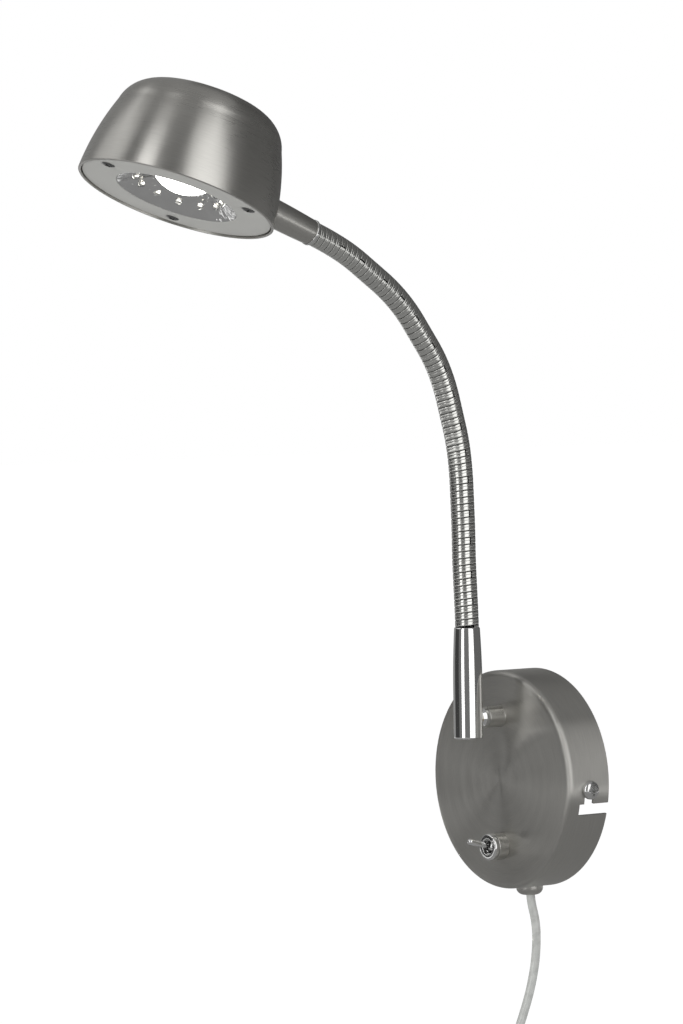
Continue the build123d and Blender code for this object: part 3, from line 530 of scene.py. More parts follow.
@dataclass(frozen=True)
class PolishedMetal:
    """Polished or plated metal with faint smudges and optional painted shade in its grooves."""

    name: str
    colour: Colour
    roughness: float = 0.06
    smudge: float = 0.05
    scale: float = 60.0
    # groove: paints shade into the grooves by darkening the colour with the mesh's groove attribute.
    groove: bool = False
    wave: float = 0.0

    def build(self, effects: Effects) -> bpy.types.Material:
        """Makes the material.

        Args:
            effects: The shared shader groups.

        Returns:
            The material.
        """
        material, nodes, shader, position = new_material(self.name)
        smudge = use_group(nodes, effects.smudges, position, Scale=self.scale)
        cloud = nodes.span(smudge.outputs["Cloud"], 0.35, 0.7, 0.0, 1.0)
        colour = nodes.tint(cloud, shade(self.colour, 1.02), shade(self.colour, 0.94))
        rough = nodes.math("ADD", nodes.math("MULTIPLY", cloud, self.smudge), self.roughness)
        # Painted shade: where the groove attribute is high the colour goes to near black and the roughness
        # rises.
        if self.groove:
            painted_groove_shade = nodes.add("ShaderNodeAttribute", attribute_name="groove").outputs["Fac"]
            mix = nodes.add("ShaderNodeMix", data_type="RGBA")
            nodes.join(painted_groove_shade, mix.inputs["Factor"])
            nodes.join(colour, mix.inputs["A"])
            mix.inputs["B"].default_value = (0.03, 0.03, 0.03, 1.0)
            colour = mix.outputs["Result"]
            rough = nodes.math("ADD", rough, nodes.math("MULTIPLY", painted_groove_shade, 0.35))
        nodes.join(colour, shader.inputs["Base Color"])
        nodes.join(rough, shader.inputs["Roughness"])
        bump = nodes.add("ShaderNodeBump")
        bump.inputs["Strength"].default_value = 0.15
        bump.inputs["Distance"].default_value = 0.00002
        nodes.join(smudge.outputs["Speck"], bump.inputs["Height"])
        if self.wave:
            swell = nodes.add("ShaderNodeBump")
            swell.inputs["Strength"].default_value = 1.0
            swell.inputs["Distance"].default_value = self.wave
            nodes.join(smudge.outputs["Cloud"], swell.inputs["Height"])
            nodes.join(swell.outputs["Normal"], bump.inputs["Normal"])
        nodes.join(bump.outputs["Normal"], shader.inputs["Normal"])
        shader.inputs["Metallic"].default_value = 1.0
        return material


@dataclass(frozen=True)
class Coating:
    """Paint, lacquer or moulded plastic with a fine skin."""

    name: str
    colour: Colour
    roughness: float = 0.45
    coat: float = 0.0
    scale: float = 70.0
    tone: float = 0.05
    skin: float = 0.00003
    specular: float = 0.5

    def build(self, effects: Effects) -> bpy.types.Material:
        """Makes the material.

        Args:
            effects: The shared shader groups.

        Returns:
            The material.
        """
        material, nodes, shader, position = new_material(self.name)
        smudge = use_group(nodes, effects.smudges, position, Scale=self.scale)
        cloud = nodes.span(smudge.outputs["Cloud"], 0.3, 0.7, 0.0, 1.0)
        nodes.join(nodes.tint(cloud, shade(self.colour, 1 - self.tone), shade(self.colour, 1 + self.tone)),
                   shader.inputs["Base Color"])
        nodes.join(nodes.math("ADD", nodes.math("MULTIPLY", cloud, 0.12), self.roughness - 0.06),
                   shader.inputs["Roughness"])
        bump = nodes.add("ShaderNodeBump")
        bump.inputs["Strength"].default_value = 0.4
        bump.inputs["Distance"].default_value = self.skin
        nodes.join(smudge.outputs["Speck"], bump.inputs["Height"])
        nodes.join(bump.outputs["Normal"], shader.inputs["Normal"])
        shader.inputs["Coat Weight"].default_value = self.coat
        shader.inputs["Coat Roughness"].default_value = 0.08
        shader.inputs["Specular IOR Level"].default_value = self.specular
        return material


@dataclass(frozen=True)
class ClearResin:
    """Clear moulded resin or glass."""

    name: str
    colour: Colour
    roughness: float = 0.03

    def build(self, effects: Effects) -> bpy.types.Material:
        """Makes the material.

        Args:
            effects: The shared shader groups.

        Returns:
            The material.
        """
        material, nodes, shader, position = new_material(self.name)
        smudge = use_group(nodes, effects.smudges, position, Scale=300.0)
        cloud = nodes.span(smudge.outputs["Cloud"], 0.3, 0.7, 0.0, 1.0)
        nodes.join(nodes.tint(cloud, self.colour, shade(self.colour, 0.95)), shader.inputs["Base Color"])
        nodes.join(nodes.math("ADD", nodes.math("MULTIPLY", cloud, 0.03), self.roughness),
                   shader.inputs["Roughness"])
        shader.inputs["Transmission Weight"].default_value = 1.0
        shader.inputs["IOR"].default_value = 1.5
        return material


@dataclass(frozen=True)
class Glow:
    """Lit surface."""

    name: str
    colour: Colour
    strength: float

    def build(self, effects: Effects) -> bpy.types.Material:
        """Makes the material.

        Args:
            effects: The shared shader groups.

        Returns:
            The material.
        """
        material, nodes, shader, position = new_material(self.name)
        smudge = use_group(nodes, effects.smudges, position, Scale=400.0)
        cloud = nodes.span(smudge.outputs["Cloud"], 0.3, 0.7, 0.0, 1.0)
        glow = nodes.tint(cloud, self.colour, shade(self.colour, 0.93))
        nodes.join(glow, shader.inputs["Base Color"])
        nodes.join(glow, shader.inputs["Emission Color"])
        shader.inputs["Emission Strength"].default_value = self.strength
        shader.inputs["Roughness"].default_value = 0.35
        return material


STEEL: Colour = (0.56, 0.55, 0.52)

FINISHES = (
    TurnedMetal("canopy_face_metal", STEEL, roughness=0.36, anisotropy=0.92),
    TurnedMetal("shell_metal", STEEL, roughness=0.30, anisotropy=0.75),
    TurnedMetal("collar_metal", STEEL, roughness=0.33, anisotropy=0.6),
    TurnedMetal("barrel_metal", (0.62, 0.61, 0.58), roughness=0.3, anisotropy=0.6),
    TurnedMetal("bushing_metal", STEEL, roughness=0.32, anisotropy=0.5),
    PolishedMetal("tube_chrome", (0.86, 0.86, 0.85), roughness=0.05),
    # The neck's finish has painted shade in its grooves.
    PolishedMetal("neck_metal", (0.74, 0.74, 0.71), roughness=0.17, groove=True),
    PolishedMetal("ring_chrome", (0.84, 0.84, 0.83), roughness=0.08),
    PolishedMetal("screw_chrome", (0.75, 0.75, 0.74), roughness=0.16),
    PolishedMetal("dark_steel", (0.22, 0.22, 0.22), roughness=0.25),
    PolishedMetal("reflector_silver", (0.80, 0.80, 0.79), roughness=0.07, smudge=0.06, scale=90.0,
                  wave=0.0035),
    PolishedMetal("zinc", (0.62, 0.63, 0.62), roughness=0.34, smudge=0.2),
    PolishedMetal("brass", (0.72, 0.55, 0.28), roughness=0.25, smudge=0.1),
    PolishedMetal("extruded_aluminium", (0.72, 0.72, 0.73), roughness=0.35),
    Coating("plate_paint", (0.40, 0.40, 0.38), roughness=0.42),
    Coating("switch_plastic", (0.02, 0.02, 0.022), roughness=0.35),
    Coating("driver_plastic", (0.80, 0.80, 0.77), roughness=0.5),
    Coating("block_plastic", (0.72, 0.74, 0.71), roughness=0.35),
    Coating("wire_plastic", (0.74, 0.74, 0.71), roughness=0.35),
    Coating("board_mask", (0.82, 0.83, 0.80), roughness=0.3),
    Coating("tie_plastic", (0.03, 0.03, 0.03), roughness=0.5),
    Coating("plug_plastic", (0.76, 0.76, 0.73), roughness=0.35, coat=0.2),
    Coating("cord_skin", (0.52, 0.53, 0.51), roughness=0.3, coat=0.6, tone=0.12, scale=260.0),
    ClearResin("led_resin", (0.97, 0.97, 0.95)),
    Glow("centre_glow", (1.0, 0.985, 0.95), 14.0),
    Glow("led_chip", (1.0, 0.97, 0.88), 1.6),
)


class Finishes:
    """All materials by name."""

    def __init__(self, effects: Effects) -> None:
        """Builds every finish once."""
        self.made = {finish.name: finish.build(effects) for finish in FINISHES}

    def dress(self, piece: bpy.types.Object, name: str) -> bpy.types.Object:
        """Gives a piece one finish.

        Args:
            piece: The piece.
            name: The finish's name.

        Returns:
            The piece.
        """
        piece.data.materials.clear()
        piece.data.materials.append(self.made[name])
        return piece

    def dress_node(self, node: str, name: str) -> None:
        """Gives a carried-over CAD node one finish.

        Args:
            node: The node's name.
            name: The finish's name.
        """
        piece = frame["nodes"][node]
        if not piece.material_slots:
            piece.data.materials.append(None)
        for slot in piece.material_slots:
            slot.link = "OBJECT"
            slot.material = self.made[name]


@dataclass
class Part:
    """A sub-assembly that builds its pieces and dresses them."""

    finishes: Finishes
    pieces: list[bpy.types.Object] = field(default_factory=list)

    def keep(self, piece: bpy.types.Object, finish: str, body: Body, slot: str, *nodes: str
             ) -> bpy.types.Object:
        """Dresses a piece, lets it ride on its body and stand for its CAD nodes.

        Args:
            piece: The new piece.
            finish: Name of its finish.
            body: CAD body that it rides on.
            slot: The record's material slot; not used.
            nodes: CAD nodes that it stands for.

        Returns:
            The piece.
        """
        self.finishes.dress(piece, finish)
        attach(piece, body.value)
        if nodes:
            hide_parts(*nodes)
        self.pieces.append(piece)
        return piece


# -------------------------------------------------------------------------------------------- canopy
@dataclass
class Canopy(Part):
    """Round cup on the wall with its two bayonet slots."""

    radius: float = CANOPY_RADIUS
    depth: float = CANOPY_DEPTH
    wall: float = 1.2
    edge: float = 2.8
    slot_width: float = 5.2
    slot_reach: float = 14.0
    slot_turn: float = 10.4
    screw_turn: float = 2.7
    cut_depth: float = 6.0
    cut_past: float = 1.0

    def front(self) -> Matrix:
        """Place at the centre of the front face, with Z out of the wall."""
        return place((0, -self.depth, 0), (0, -1, 0))

    def cover(self) -> bpy.types.Object:
        """The cup itself, with its two L-shaped slots.

        Returns:
            The piece.
        """
        inner = self.radius - self.wall
        outline = rounded(
            (
                (0, -self.wall, 0),
                (inner, -self.wall, self.edge - self.wall),
                (inner, -self.depth, 0.25),
                (self.radius, -self.depth, 0.25),
                (self.radius, 0, self.edge),
                (0, 0, 0),
            ),
            steps=9,
        )
        piece = lathe("canopy_cup", outline, self.front(), segments=240)
        carve(piece, self.slot_cutters())
        return self.keep(piece, "canopy_face_metal", Body.CANOPY, "canopy_brushed", "canopy_cover")

    def slot_cutters(self) -> list[bpy.types.Object]:
        """Solids that cut both slots: a leg from the back rim and a run along the wall.

        Returns:
            The four solids.
        """
        cutters = []
        half_width = self.slot_width / 2
        run_y = -(self.slot_reach - half_width)
        leg_size = (self.cut_depth, -run_y + 2 * self.cut_past + self.slot_width, self.slot_width)
        leg_y = run_y / 2 + self.cut_past - half_width
        leg_shift = Matrix.Translation(Vector((self.radius, leg_y, 0)) * MM)
        run_length = self.radius * math.radians(self.slot_turn) + half_width
        run_size = (self.cut_depth + 1, self.slot_width, run_length)
        run_shift = Matrix.Translation(Vector((self.radius, run_y, 0)) * MM)
        half_turn = self.slot_turn / 2 + math.degrees(half_width / self.radius) / 2
        for side in (0, 180):
            mouth = side + self.screw_turn + self.slot_turn
            for name, size, shift, turn in (
                ("cut_leg", leg_size, leg_shift, mouth), ("cut_run", run_size, run_shift, mouth - half_turn)
            ):
                spin = Matrix.Rotation(math.radians(turn), 4, "Y")
                cutters.append(block(name, size, spin @ shift))
        return cutters

    def build(self) -> None:
        """Builds the canopy's pieces."""
        self.cover()


# --------------------------------------------------------------------------------- arm and polished tube
@dataclass
class Arm(Part):
    """Short barrel and ring that hold the polished upright tube."""

    height: float = 29.1
    face: float = -CANOPY_DEPTH
    barrel_radius: float = 4.9
    barrel_length: float = 8.6
    ring_radius: float = 4.7
    ring_length: float = 2.6
    tube_bottom: float = 19.9
    tube_top: float = 70.7
    foot_radius: float = 6.7
    top_radius: float = 5.9
    straight: float = 22.0
    bore: float = 5.15

    def axis_y(self) -> float:
        """Distance of the tube's axis from the wall, as a Y value."""
        return self.face - self.barrel_length - self.ring_length - self.foot_radius

    def out(self) -> Matrix:
        """Place on the canopy's face where the arm starts, with Z out of the wall."""
        return place((0, self.face, self.height), (0, -1, 0))

    def upright(self) -> Matrix:
        """Place of the tube's axis at the canopy's centre height, with Z up."""
        return place((0, self.axis_y(), 0), (0, 0, 1))

    def barrel(self) -> None:
        """The brushed barrel against the canopy."""
        outline = rounded(
            (
                (0, 0, 0),
                (self.barrel_radius + 0.25, 0, 0.15),
                (self.barrel_radius + 0.1, 0.6, 0.3),
                (self.barrel_radius, self.barrel_length, 0.35),
                (0, self.barrel_length, 0),
            )
        )
        piece = lathe("arm_barrel", outline, self.out())
        self.keep(piece, "barrel_metal", Body.CANOPY, "barrel_brushed", "spacer_barrel")

    def ring(self) -> None:
        """The bright ring that meets the tube."""
        start = self.barrel_length
        outline = rounded(
            (
                (0, start, 0),
                (self.ring_radius, start, 0.7),
                (self.ring_radius, start + self.ring_length * 0.75, 0.5),
                (self.ring_radius - 0.9, start + self.ring_length + 1.4, 0.2),
                (0, start + self.ring_length + 1.4, 0),
            )
        )
        piece = lathe("arm_ring", outline, self.out())
        self.keep(piece, "ring_chrome", Body.CANOPY, "bright_ring", "spacer_ring")

    def tube(self) -> None:
        """The polished tube: a straight foot, a tapering upper half and rolled ends."""
        taper_start = self.tube_bottom + self.straight
        top = self.tube_top
        steps = 26
        outline: list[Point] = [(self.bore, self.tube_bottom + 0.25)]
        outline += arc(
            (self.foot_radius - 0.9, self.tube_bottom),
            (self.foot_radius - 0.22, self.tube_bottom + 0.26),
            (self.foot_radius, self.tube_bottom + 1.0),
            8,
        )
        for i in range(9):
            outline.append((self.foot_radius, self.tube_bottom + 1.0 + (self.straight - 1.0) * i / 9))
        for i in range(steps + 1):
            share = i / steps
            radius = self.foot_radius - (self.foot_radius - self.top_radius) * share ** 2
            outline.append((radius, taper_start + (top - 1.0 - taper_start) * share))
        outline += arc(
            (self.top_radius, top - 0.95),
            (self.top_radius - 0.2, top - 0.25),
            (self.top_radius - 0.6, top),
            6,
        )
        outline += [(self.top_radius - 0.6, top), (self.bore, top - 0.1), (self.bore, top - 3)]
        piece = lathe("upright_tube", outline, self.upright(), segments=128)
        self.keep(piece, "tube_chrome", Body.CANOPY, "tube_chrome", "base_tube")

    def plug(self) -> None:
        """The disc that closes the tube's lower end."""
        low = self.tube_bottom + 0.4
        edge, high = self.bore - 0.02, low + 3
        outline = rounded(((0, low, 0), (edge, low, 0.3), (edge, high, 0), (0, high, 0)))
        piece = lathe("tube_end_disc", outline, self.upright(), segments=64)
        self.keep(piece, "ring_chrome", Body.CANOPY, "tube_plug", "tube_plug")

    def build(self) -> None:
        """Builds the arm's pieces."""
        self.barrel()
        self.ring()
        self.tube()
        self.plug()


# ------------------------------------------------------------------------------------- toggle switch
@dataclass
class ToggleSwitch(Part):
    """Round barrel with a rounded cap, a notched bushing and a small lever."""

    height: float = -30.4
    face: float = -CANOPY_DEPTH
    radius: float = 6.2
    barrel_length: float = 5.4
    groove: float = 0.3
    cap_length: float = 2.4
    mouth: float = 3.5
    bushing_radius: float = 3.0
    bushing_bore: float = 2.6
    recess: float = 1.2
    lever_radius: float = 1.1
    tip_radius: float = 1.5
    lever_length: float = 14.7
    lever_tilt: float = 14.0
    ball: float = 2.3
    pivot_out: float = 4.9

    def at(self, out: float = 0.0) -> Matrix:
        """Place on the switch's axis, a distance in front of the canopy."""
        return place((0, self.face - out, self.height), (0, -1, 0))

    def barrel(self) -> None:
        """The plain barrel."""
        outline = rounded(
            (
                (self.bushing_radius, 0, 0),
                (self.radius, 0, 0.1),
                (self.radius, self.barrel_length, 0.3),
                (self.bushing_radius, self.barrel_length, 0),
            )
        )
        piece = lathe("switch_ring_barrel", outline, self.at())
        self.keep(piece, "barrel_metal", Body.CANOPY, "switch_chrome", "switch_barrel")

    def cap(self) -> None:
        """The rounded cap in front of a fine groove."""
        low = self.barrel_length + self.groove
        high = low + self.cap_length
        outline = rounded(
            (
                (self.bushing_radius, self.barrel_length, 0),
                (self.radius - 0.8, self.barrel_length, 0),
                (self.radius - 0.8, low, 0),
                (self.radius - 0.1, low, 0.4),
                (self.radius - 0.1, high, 1.15),
                (self.mouth, high, 0.5),
                (self.mouth, low + 0.4, 0.2),
                (self.bushing_radius, low + 0.4, 0),
            ),
            steps=8,
        )
        piece = lathe("switch_round_cap", outline, self.at())
        self.keep(piece, "ring_chrome", Body.CANOPY, "switch_chrome", "switch_cap")

    def bushing(self) -> None:
        """The dark threaded bushing, with four notches in its mouth."""
        front = self.barrel_length + self.groove + self.cap_length - self.recess
        outline = rounded(
            (
                (self.bushing_bore, -3.0, 0),
                (self.bushing_radius, -3.0, 0),
                (self.bushing_radius, front, 0.2),
                (self.bushing_bore, front, 0.15),
            )
        )
        piece = lathe("switch_notched_bushing", outline, self.at(), segments=64)
        notches = []
        for quarter in range(4):
            turn = Matrix.Rotation(math.radians(90.0 * quarter + 45.0), 4, "Z")
            shift = Matrix.Translation(Vector((self.bushing_radius, 0, front)) * MM)
            notches.append(block("cut_notch", (2.0, 1.1, 2.0), self.at() @ turn @ shift))
        carve(piece, notches)
        self.keep(piece, "dark_steel", Body.CANOPY, "switch_dark", "switch_bushing")

    def lever(self) -> None:
        """The small bat-shaped lever on its ball."""
        neck = math.sqrt(self.ball ** 2 - self.lever_radius ** 2)
        tip = self.lever_length - self.tip_radius
        outline = arc((0, -self.ball), (self.ball, 0), (self.lever_radius, neck), 14)
        outline += [(self.lever_radius, neck), (self.lever_radius * 1.06, neck + 2.0)]
        outline += [(self.tip_radius * 0.93, tip - 2.5)]
        half = math.sqrt(0.5)
        outline += arc(
            (self.tip_radius, tip),
            (self.tip_radius * half, tip + self.tip_radius * half),
            (0, self.lever_length),
            10,
        )
        outline.append((0, self.lever_length))
        at = self.at(self.pivot_out) @ Matrix.Rotation(math.radians(-self.lever_tilt), 4, "X")
        piece = lathe("switch_bat", outline, at, segments=48)
        self.keep(piece, "ring_chrome", Body.LEVER, "lever_chrome", "switch_lever")

    def build(self) -> None:
        """Builds the switch's pieces."""
        self.barrel()
        self.cap()
        self.bushing()
        self.lever()


# -------------------------------------------------------------------------------------- flexible neck
@dataclass
class Neck(Part):
    """Wound flexible neck: one helical surface, in pieces that each hold the stretch round one joint."""

    crest: float = 5.4
    pitch: float = 3.07
    facets: int = 56
    start_z: float = 68.7
    tip_length: float = NECK_TIP
    into_collar: float = 2.0
    last_bend: float = 4.5
    steps_per_joint: int = 24
    curve: list[Vector] = field(default_factory=list)
    lengths: list[float] = field(default_factory=list)
    joint_starts: list[float] = field(default_factory=list)

    #: (share of the pitch, depth below the crest, painted shade in the groove) of one turn's outline
    turn: tuple[tuple[float, float, float], ...] = (
        (0.0, 0.34, 1.0),
        (0.035, 0.30, 1.0),
        (0.06, 0.09, 0.6),
        (0.09, 0.03, 0.0),
        (0.15, 0.008, 0.0),
        (0.32, 0.0, 0.0),
        (0.50, 0.004, 0.0),
        (0.56, 0.012, 0.1),
        (0.58, 0.055, 0.6),
        (0.60, 0.012, 0.1),
        (0.66, 0.004, 0.0),
        (0.80, 0.0, 0.0),
        (0.90, 0.010, 0.0),
        (0.945, 0.05, 0.2),
        (0.97, 0.28, 1.0),
    )

    def joints(self) -> list[dict]:
        """The neck's joints in order, from the foot to the head."""
        return [j for j in frame["joints"] if j["name"].startswith("neck_")]

    def lay_out(self) -> None:
        """Samples the smooth centre line, in millimetres, and notes where each joint's stretch starts."""
        turns = [Vector(j["pos_m"]) / MM for j in self.joints()]
        first = Vector((0, turns[0].y, self.start_z))
        last_run = (turns[-1] - turns[-2]).normalized()
        last_heading = Matrix.Rotation(math.radians(self.last_bend), 3, "X") @ last_run
        last = turns[-1] + last_heading * (self.tip_length + self.into_collar)
        middles = [(first + turns[0]) / 2]
        middles += [(a + b) / 2 for a, b in zip(turns, turns[1:])]
        middles.append((turns[-1] + last) / 2)
        self.curve = [first]
        starts = [0]
        for a, control, b in zip(middles, turns, middles[1:]):
            for k in range(self.steps_per_joint):
                share = k / self.steps_per_joint
                self.curve.append(a.lerp(control, share).lerp(control.lerp(b, share), share))
            starts.append(len(self.curve))
        self.curve += [middles[-1], last]
        self.lengths = [0.0]
        for a, b in zip(self.curve, self.curve[1:]):
            self.lengths.append(self.lengths[-1] + (b - a).length)
        self.joint_starts = [self.lengths[i] for i in starts]

    def sample(self, distance: float) -> tuple[Vector, Vector]:
        """Point and direction of the centre line.

        Args:
            distance: Distance along the line from its foot.

        Returns:
            The point and the direction there.
        """
        distance = min(max(distance, 0.0), self.lengths[-1] - 1e-6)
        low, high = 0, len(self.lengths) - 1
        while high - low > 1:
            half = (low + high) // 2
            if self.lengths[half] <= distance:
                low = half
            else:
                high = half
        share = (distance - self.lengths[low]) / (self.lengths[high] - self.lengths[low])
        here = self.curve[low].lerp(self.curve[high], share)
        before = self.curve[max(low - 1, 0)]
        after = self.curve[min(high + 1, len(self.curve) - 1)]
        return here, (after - before).normalized()

    def stretch(self, name: str, first: int, last: int, pitch: float) -> bpy.types.Object:
        """Mesh of some whole turns of the winding.

        Args:
            name: The piece's name.
            first: First turn.
            last: Turn after the last one.
            pitch: Length of one turn.

        Returns:
            The new object, with painted groove shade in its groove attribute.
        """
        across = Vector((1, 0, 0))
        rows = (last - first) * len(self.turn) + 1
        verts, painted_groove_shade = [], []
        for row in range(rows):
            turn, index = divmod(row, len(self.turn))
            # dark is painted shade for the grooves, kept in the groove attribute.
            share, depth, dark = self.turn[index]
            for k in range(self.facets):
                angle = 2 * math.pi * k / self.facets
                here, heading = self.sample((first + turn + share + k / self.facets) * pitch)
                out = across * math.cos(angle) + heading.cross(across) * math.sin(angle)
                verts.append((here + out * (self.crest - depth)) * MM)
                painted_groove_shade.append(dark)
        faces = []
        per_turn = len(self.turn)
        for row in range(rows - 1):
            for k in range(self.facets - 1):
                a = row * self.facets + k
                faces.append((a, a + 1, a + 1 + self.facets, a + self.facets))
            wrap = row + per_turn
            if wrap + 1 < rows:
                a = row * self.facets + self.facets - 1
                b = wrap * self.facets
                faces.append((a, b, b + self.facets, a + self.facets))
        mesh = bpy.data.meshes.new(name)
        mesh.from_pydata(verts, [], faces)
        mesh.update()
        # The groove attribute carries painted shade into the neck's material.
        groove = mesh.attributes.new("groove", "FLOAT", "POINT")
        groove.data.foreach_set("value", painted_groove_shade)
        smooth(mesh, 80)
        return new_object(name, mesh)

    def build(self) -> None:
        """Builds one piece for each joint of the neck."""
        self.lay_out()
        total = round(self.lengths[-1] / self.pitch)
        pitch = self.lengths[-1] / total
        cuts = [0] + [round(s / pitch) for s in self.joint_starts[1:-1]] + [total]
        for index, joint in enumerate(self.joints()):
            first, last = cuts[index], cuts[index + 1]
            piece = self.stretch(f"wound_neck_{index + 1:02d}", first, last, pitch)
            self.finishes.dress(piece, "neck_metal")
            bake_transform(piece)
            nodes = [f"neck_link_{index + 1:02d}"] if index + 1 < len(self.joints()) else ["neck_tip"]
            if index == 0:
                nodes.append("neck_root")
            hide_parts(*nodes)
            self.pieces.append(piece)


# ---------------------------------------------------------------------------------------------- head
@dataclass
class Head(Part):
    """Spun bell with its collar, plate, bright bowl and lights."""

    heading: float = 67.0
    tip_length: float = NECK_TIP
    collar_length: float = 30.5
    collar_mouth: float = 5.75
    collar_root: float = 6.4
    collar_ring_length: float = 1.3
    collar_height: float = 15.0
    rim: float = 44.7
    middle: Point = (42.3, 18.0)
    shoulder: Point = (37.6, 34.2)
    top_edge: Point = (25.0, 46.6)
    height: float = 48.2
    wall: float = 1.2
    plate_gap: float = 0.4
    plate_recess: float = 0.8
    plate_thickness: float = 1.5
    opening: float = 27.4
    screw_circle: float = 36.6
    screw_phase: float = -94.0
    screw_head: float = 3.0
    bowl_lip: float = 26.8
    bowl_middle: Point = (19.7, 4.8)
    bowl_floor: Point = (9.5, 11.0)
    led_count: int = 12
    led_circle: float = 19.7
    led_phase: float = 23.4
    led_radius: float = 1.5
    led_tip: float = 3.2
    light_seat: float = 11.8
    lens_radius: float = 12.4
    lens_tip: float = 3.4
    lens_seat: float = 8.3

    def direction(self) -> Vector:
        """Direction of the neck's end, away from the wall."""
        turn = math.radians(self.heading)
        return Vector((0, -math.sin(turn), math.cos(turn)))

    def axis(self) -> Vector:
        """Direction from the head's opening to its top."""
        turn = math.radians(self.heading)
        return Vector((0, math.cos(turn), math.sin(turn)))

    def collar_at(self) -> Matrix:
        """Place of the collar's mouth, with Z into the head."""
        last = [j for j in frame["joints"] if j["child"] == Body.HEAD.value][0]
        origin = Vector(last["pos_m"]) / MM + self.direction() * self.tip_length
        return place(origin, self.direction())

    def at(self) -> Matrix:
        """Place of the rim's centre, with Z towards the head's top.

        Returns:
            The place.
        """
        slope = (self.middle[0] - self.rim) / self.middle[1]
        reach = self.collar_length + self.rim + slope * self.collar_height
        start = self.collar_at().translation / MM
        return place(start + self.direction() * reach - self.axis() * self.collar_height, self.axis())

    def bell_line(self, inset: float) -> list[Point]:
        """Points of the bell's side from its rim to its top.

        Args:
            inset: Distance by which the line is drawn in from the outside.

        Returns:
            The points.
        """
        rim = (self.rim - inset, 0.0)
        middle = (self.middle[0] - inset, self.middle[1])
        shoulder = (self.shoulder[0] - inset * 0.9, self.shoulder[1] - inset * 0.4)
        between = (
            (self.shoulder[0] + self.top_edge[0]) / 2 + 1.9 - inset * 0.7,
            (self.shoulder[1] + self.top_edge[1]) / 2 + 1.9 - inset * 0.7,
        )
        edge = (self.top_edge[0] - inset * 0.3, self.top_edge[1] - inset)
        top = self.height - inset
        rise = top - edge[1]
        ball = (edge[0] ** 2 + rise ** 2) / (2 * rise)
        half = math.asin(edge[0] / ball) / 2
        cap = (ball * math.sin(half), top - ball * (1 - math.cos(half)))
        line = arc(rim, middle, shoulder, 26)
        line += arc(shoulder, between, edge, 14)
        line += arc(edge, cap, (0, top), 14)
        return line + [(0, top)]

    def shell(self) -> None:
        """The spun bell, open at its rim, with a rounded edge."""
        outside = self.bell_line(0)
        inside = self.bell_line(self.wall)
        rim_round = [(self.rim - 0.02, 0.3), (self.rim - 0.25, 0.03), (self.rim - 0.6, 0.0),
                     (self.rim - self.wall + 0.2, 0.05)]
        outline = outside[1:] + inside[::-1] + rim_round[::-1]
        piece = lathe("head_bell", outline, self.at(), segments=240)
        self.keep(piece, "shell_metal", Body.HEAD, "shell_brushed", "head_shell")

    def collar(self) -> None:
        """The brushed collar between the neck and the bell."""
        mouth = self.collar_ring_length
        middle = ((self.collar_mouth + self.collar_root) / 2 + 0.15, self.collar_length * 0.5)
        outline: list[Point] = [(5.15, mouth + 4), (5.15, mouth + 0.1)]
        outline += [(self.collar_mouth - 0.25, mouth + 0.02), (self.collar_mouth - 0.05, mouth + 0.2)]
        outline += arc((self.collar_mouth, mouth + 0.5), middle, (self.collar_root, self.collar_length), 16)
        outline += [(self.collar_root, self.collar_length), (self.collar_root, self.collar_length + 1.2)]
        outline += [(3.0, self.collar_length + 1.2), (3.0, mouth + 6)]
        piece = lathe("head_collar_sleeve", outline, self.collar_at(), segments=112)
        self.keep(piece, "collar_metal", Body.HEAD, "collar_brushed", "head_collar")

    def collar_ring(self) -> None:
        """The bright ring at the collar's mouth."""
        outer = self.collar_mouth + 0.3
        length = self.collar_ring_length
        outline = rounded(
            ((5.15, 0.05, 0), (outer, 0.05, 0.5), (outer, length, 0.5), (5.15, length, 0)), steps=7
        )
        piece = lathe("collar_bright_ring", outline, self.collar_at(), segments=96)
        self.keep(piece, "ring_chrome", Body.HEAD, "bright_ring", "collar_ring")

    def screw_spots(self) -> list[Point]:
        """Centres of the plate's three screws."""
        turns = [math.radians(self.screw_phase + 120.0 * i) for i in range(3)]
        return [(self.screw_circle * math.cos(t), self.screw_circle * math.sin(t)) for t in turns]

    def plate(self) -> None:
        """The pale plate with its opening and three countersunk holes."""
        front = self.plate_recess
        back = front + self.plate_thickness
        outer = self.rim - self.wall - self.plate_gap
        outline = rounded(
            ((self.opening, front, 0.3), (outer, front, 0.35), (outer, back, 0), (self.opening, back, 0))
        )
        piece = lathe("head_plate", outline, self.at(), segments=200)
        cutters = []
        for x, y in self.screw_spots():
            spot = self.at() @ Matrix.Translation(Vector((x, y, 0)) * MM)
            head = self.screw_head + 0.15
            low, deep, wide = -0.5, front + 1.6, head + 0.2
            sink = [(0, low), (wide, low), (wide, front), (head, front + 0.1), (1.5, deep), (0, deep)]
            cutters.append(lathe("cut_sink", sink, spot, segments=40))
        carve(piece, cutters)
        self.keep(piece, "plate_paint", Body.HEAD, "plate_grey", "face_plate")

    def plate_screws(self) -> None:
        """Three countersunk screws with cross recesses."""
        front = self.plate_recess
        for index, (x, y) in enumerate(self.screw_spots()):
            outline = [
                (0, front + 1.5),
                (1.4, front + 1.5),
                (self.screw_head - 0.25, front + 0.35),
                (self.screw_head, front + 0.08),
                (self.screw_head - 0.35, front - 0.18),
                (1.6, front - 0.5),
                (0, front - 0.6),
            ]
            spot = self.at() @ Matrix.Translation(Vector((x, y, 0)) * MM)
            piece = lathe(f"plate_screw_{index + 1}", outline, spot, segments=48)
            turn = Matrix.Rotation(math.radians(25.0 + 40.0 * index), 4, "Z")
            arms = []
            for quarter in (0, 90):
                cross = turn @ Matrix.Rotation(math.radians(quarter), 4, "Z")
                low = Matrix.Translation(Vector((0, 0, front)) * MM)
                arms.append(block("cut_cross", (3.6, 0.8, 2.0), spot @ cross @ low))
            carve(piece, arms)
            nodes = ("plate_screws",) if index == 0 else ()
            self.keep(piece, "dark_steel", Body.HEAD, "plate_screw", *nodes)

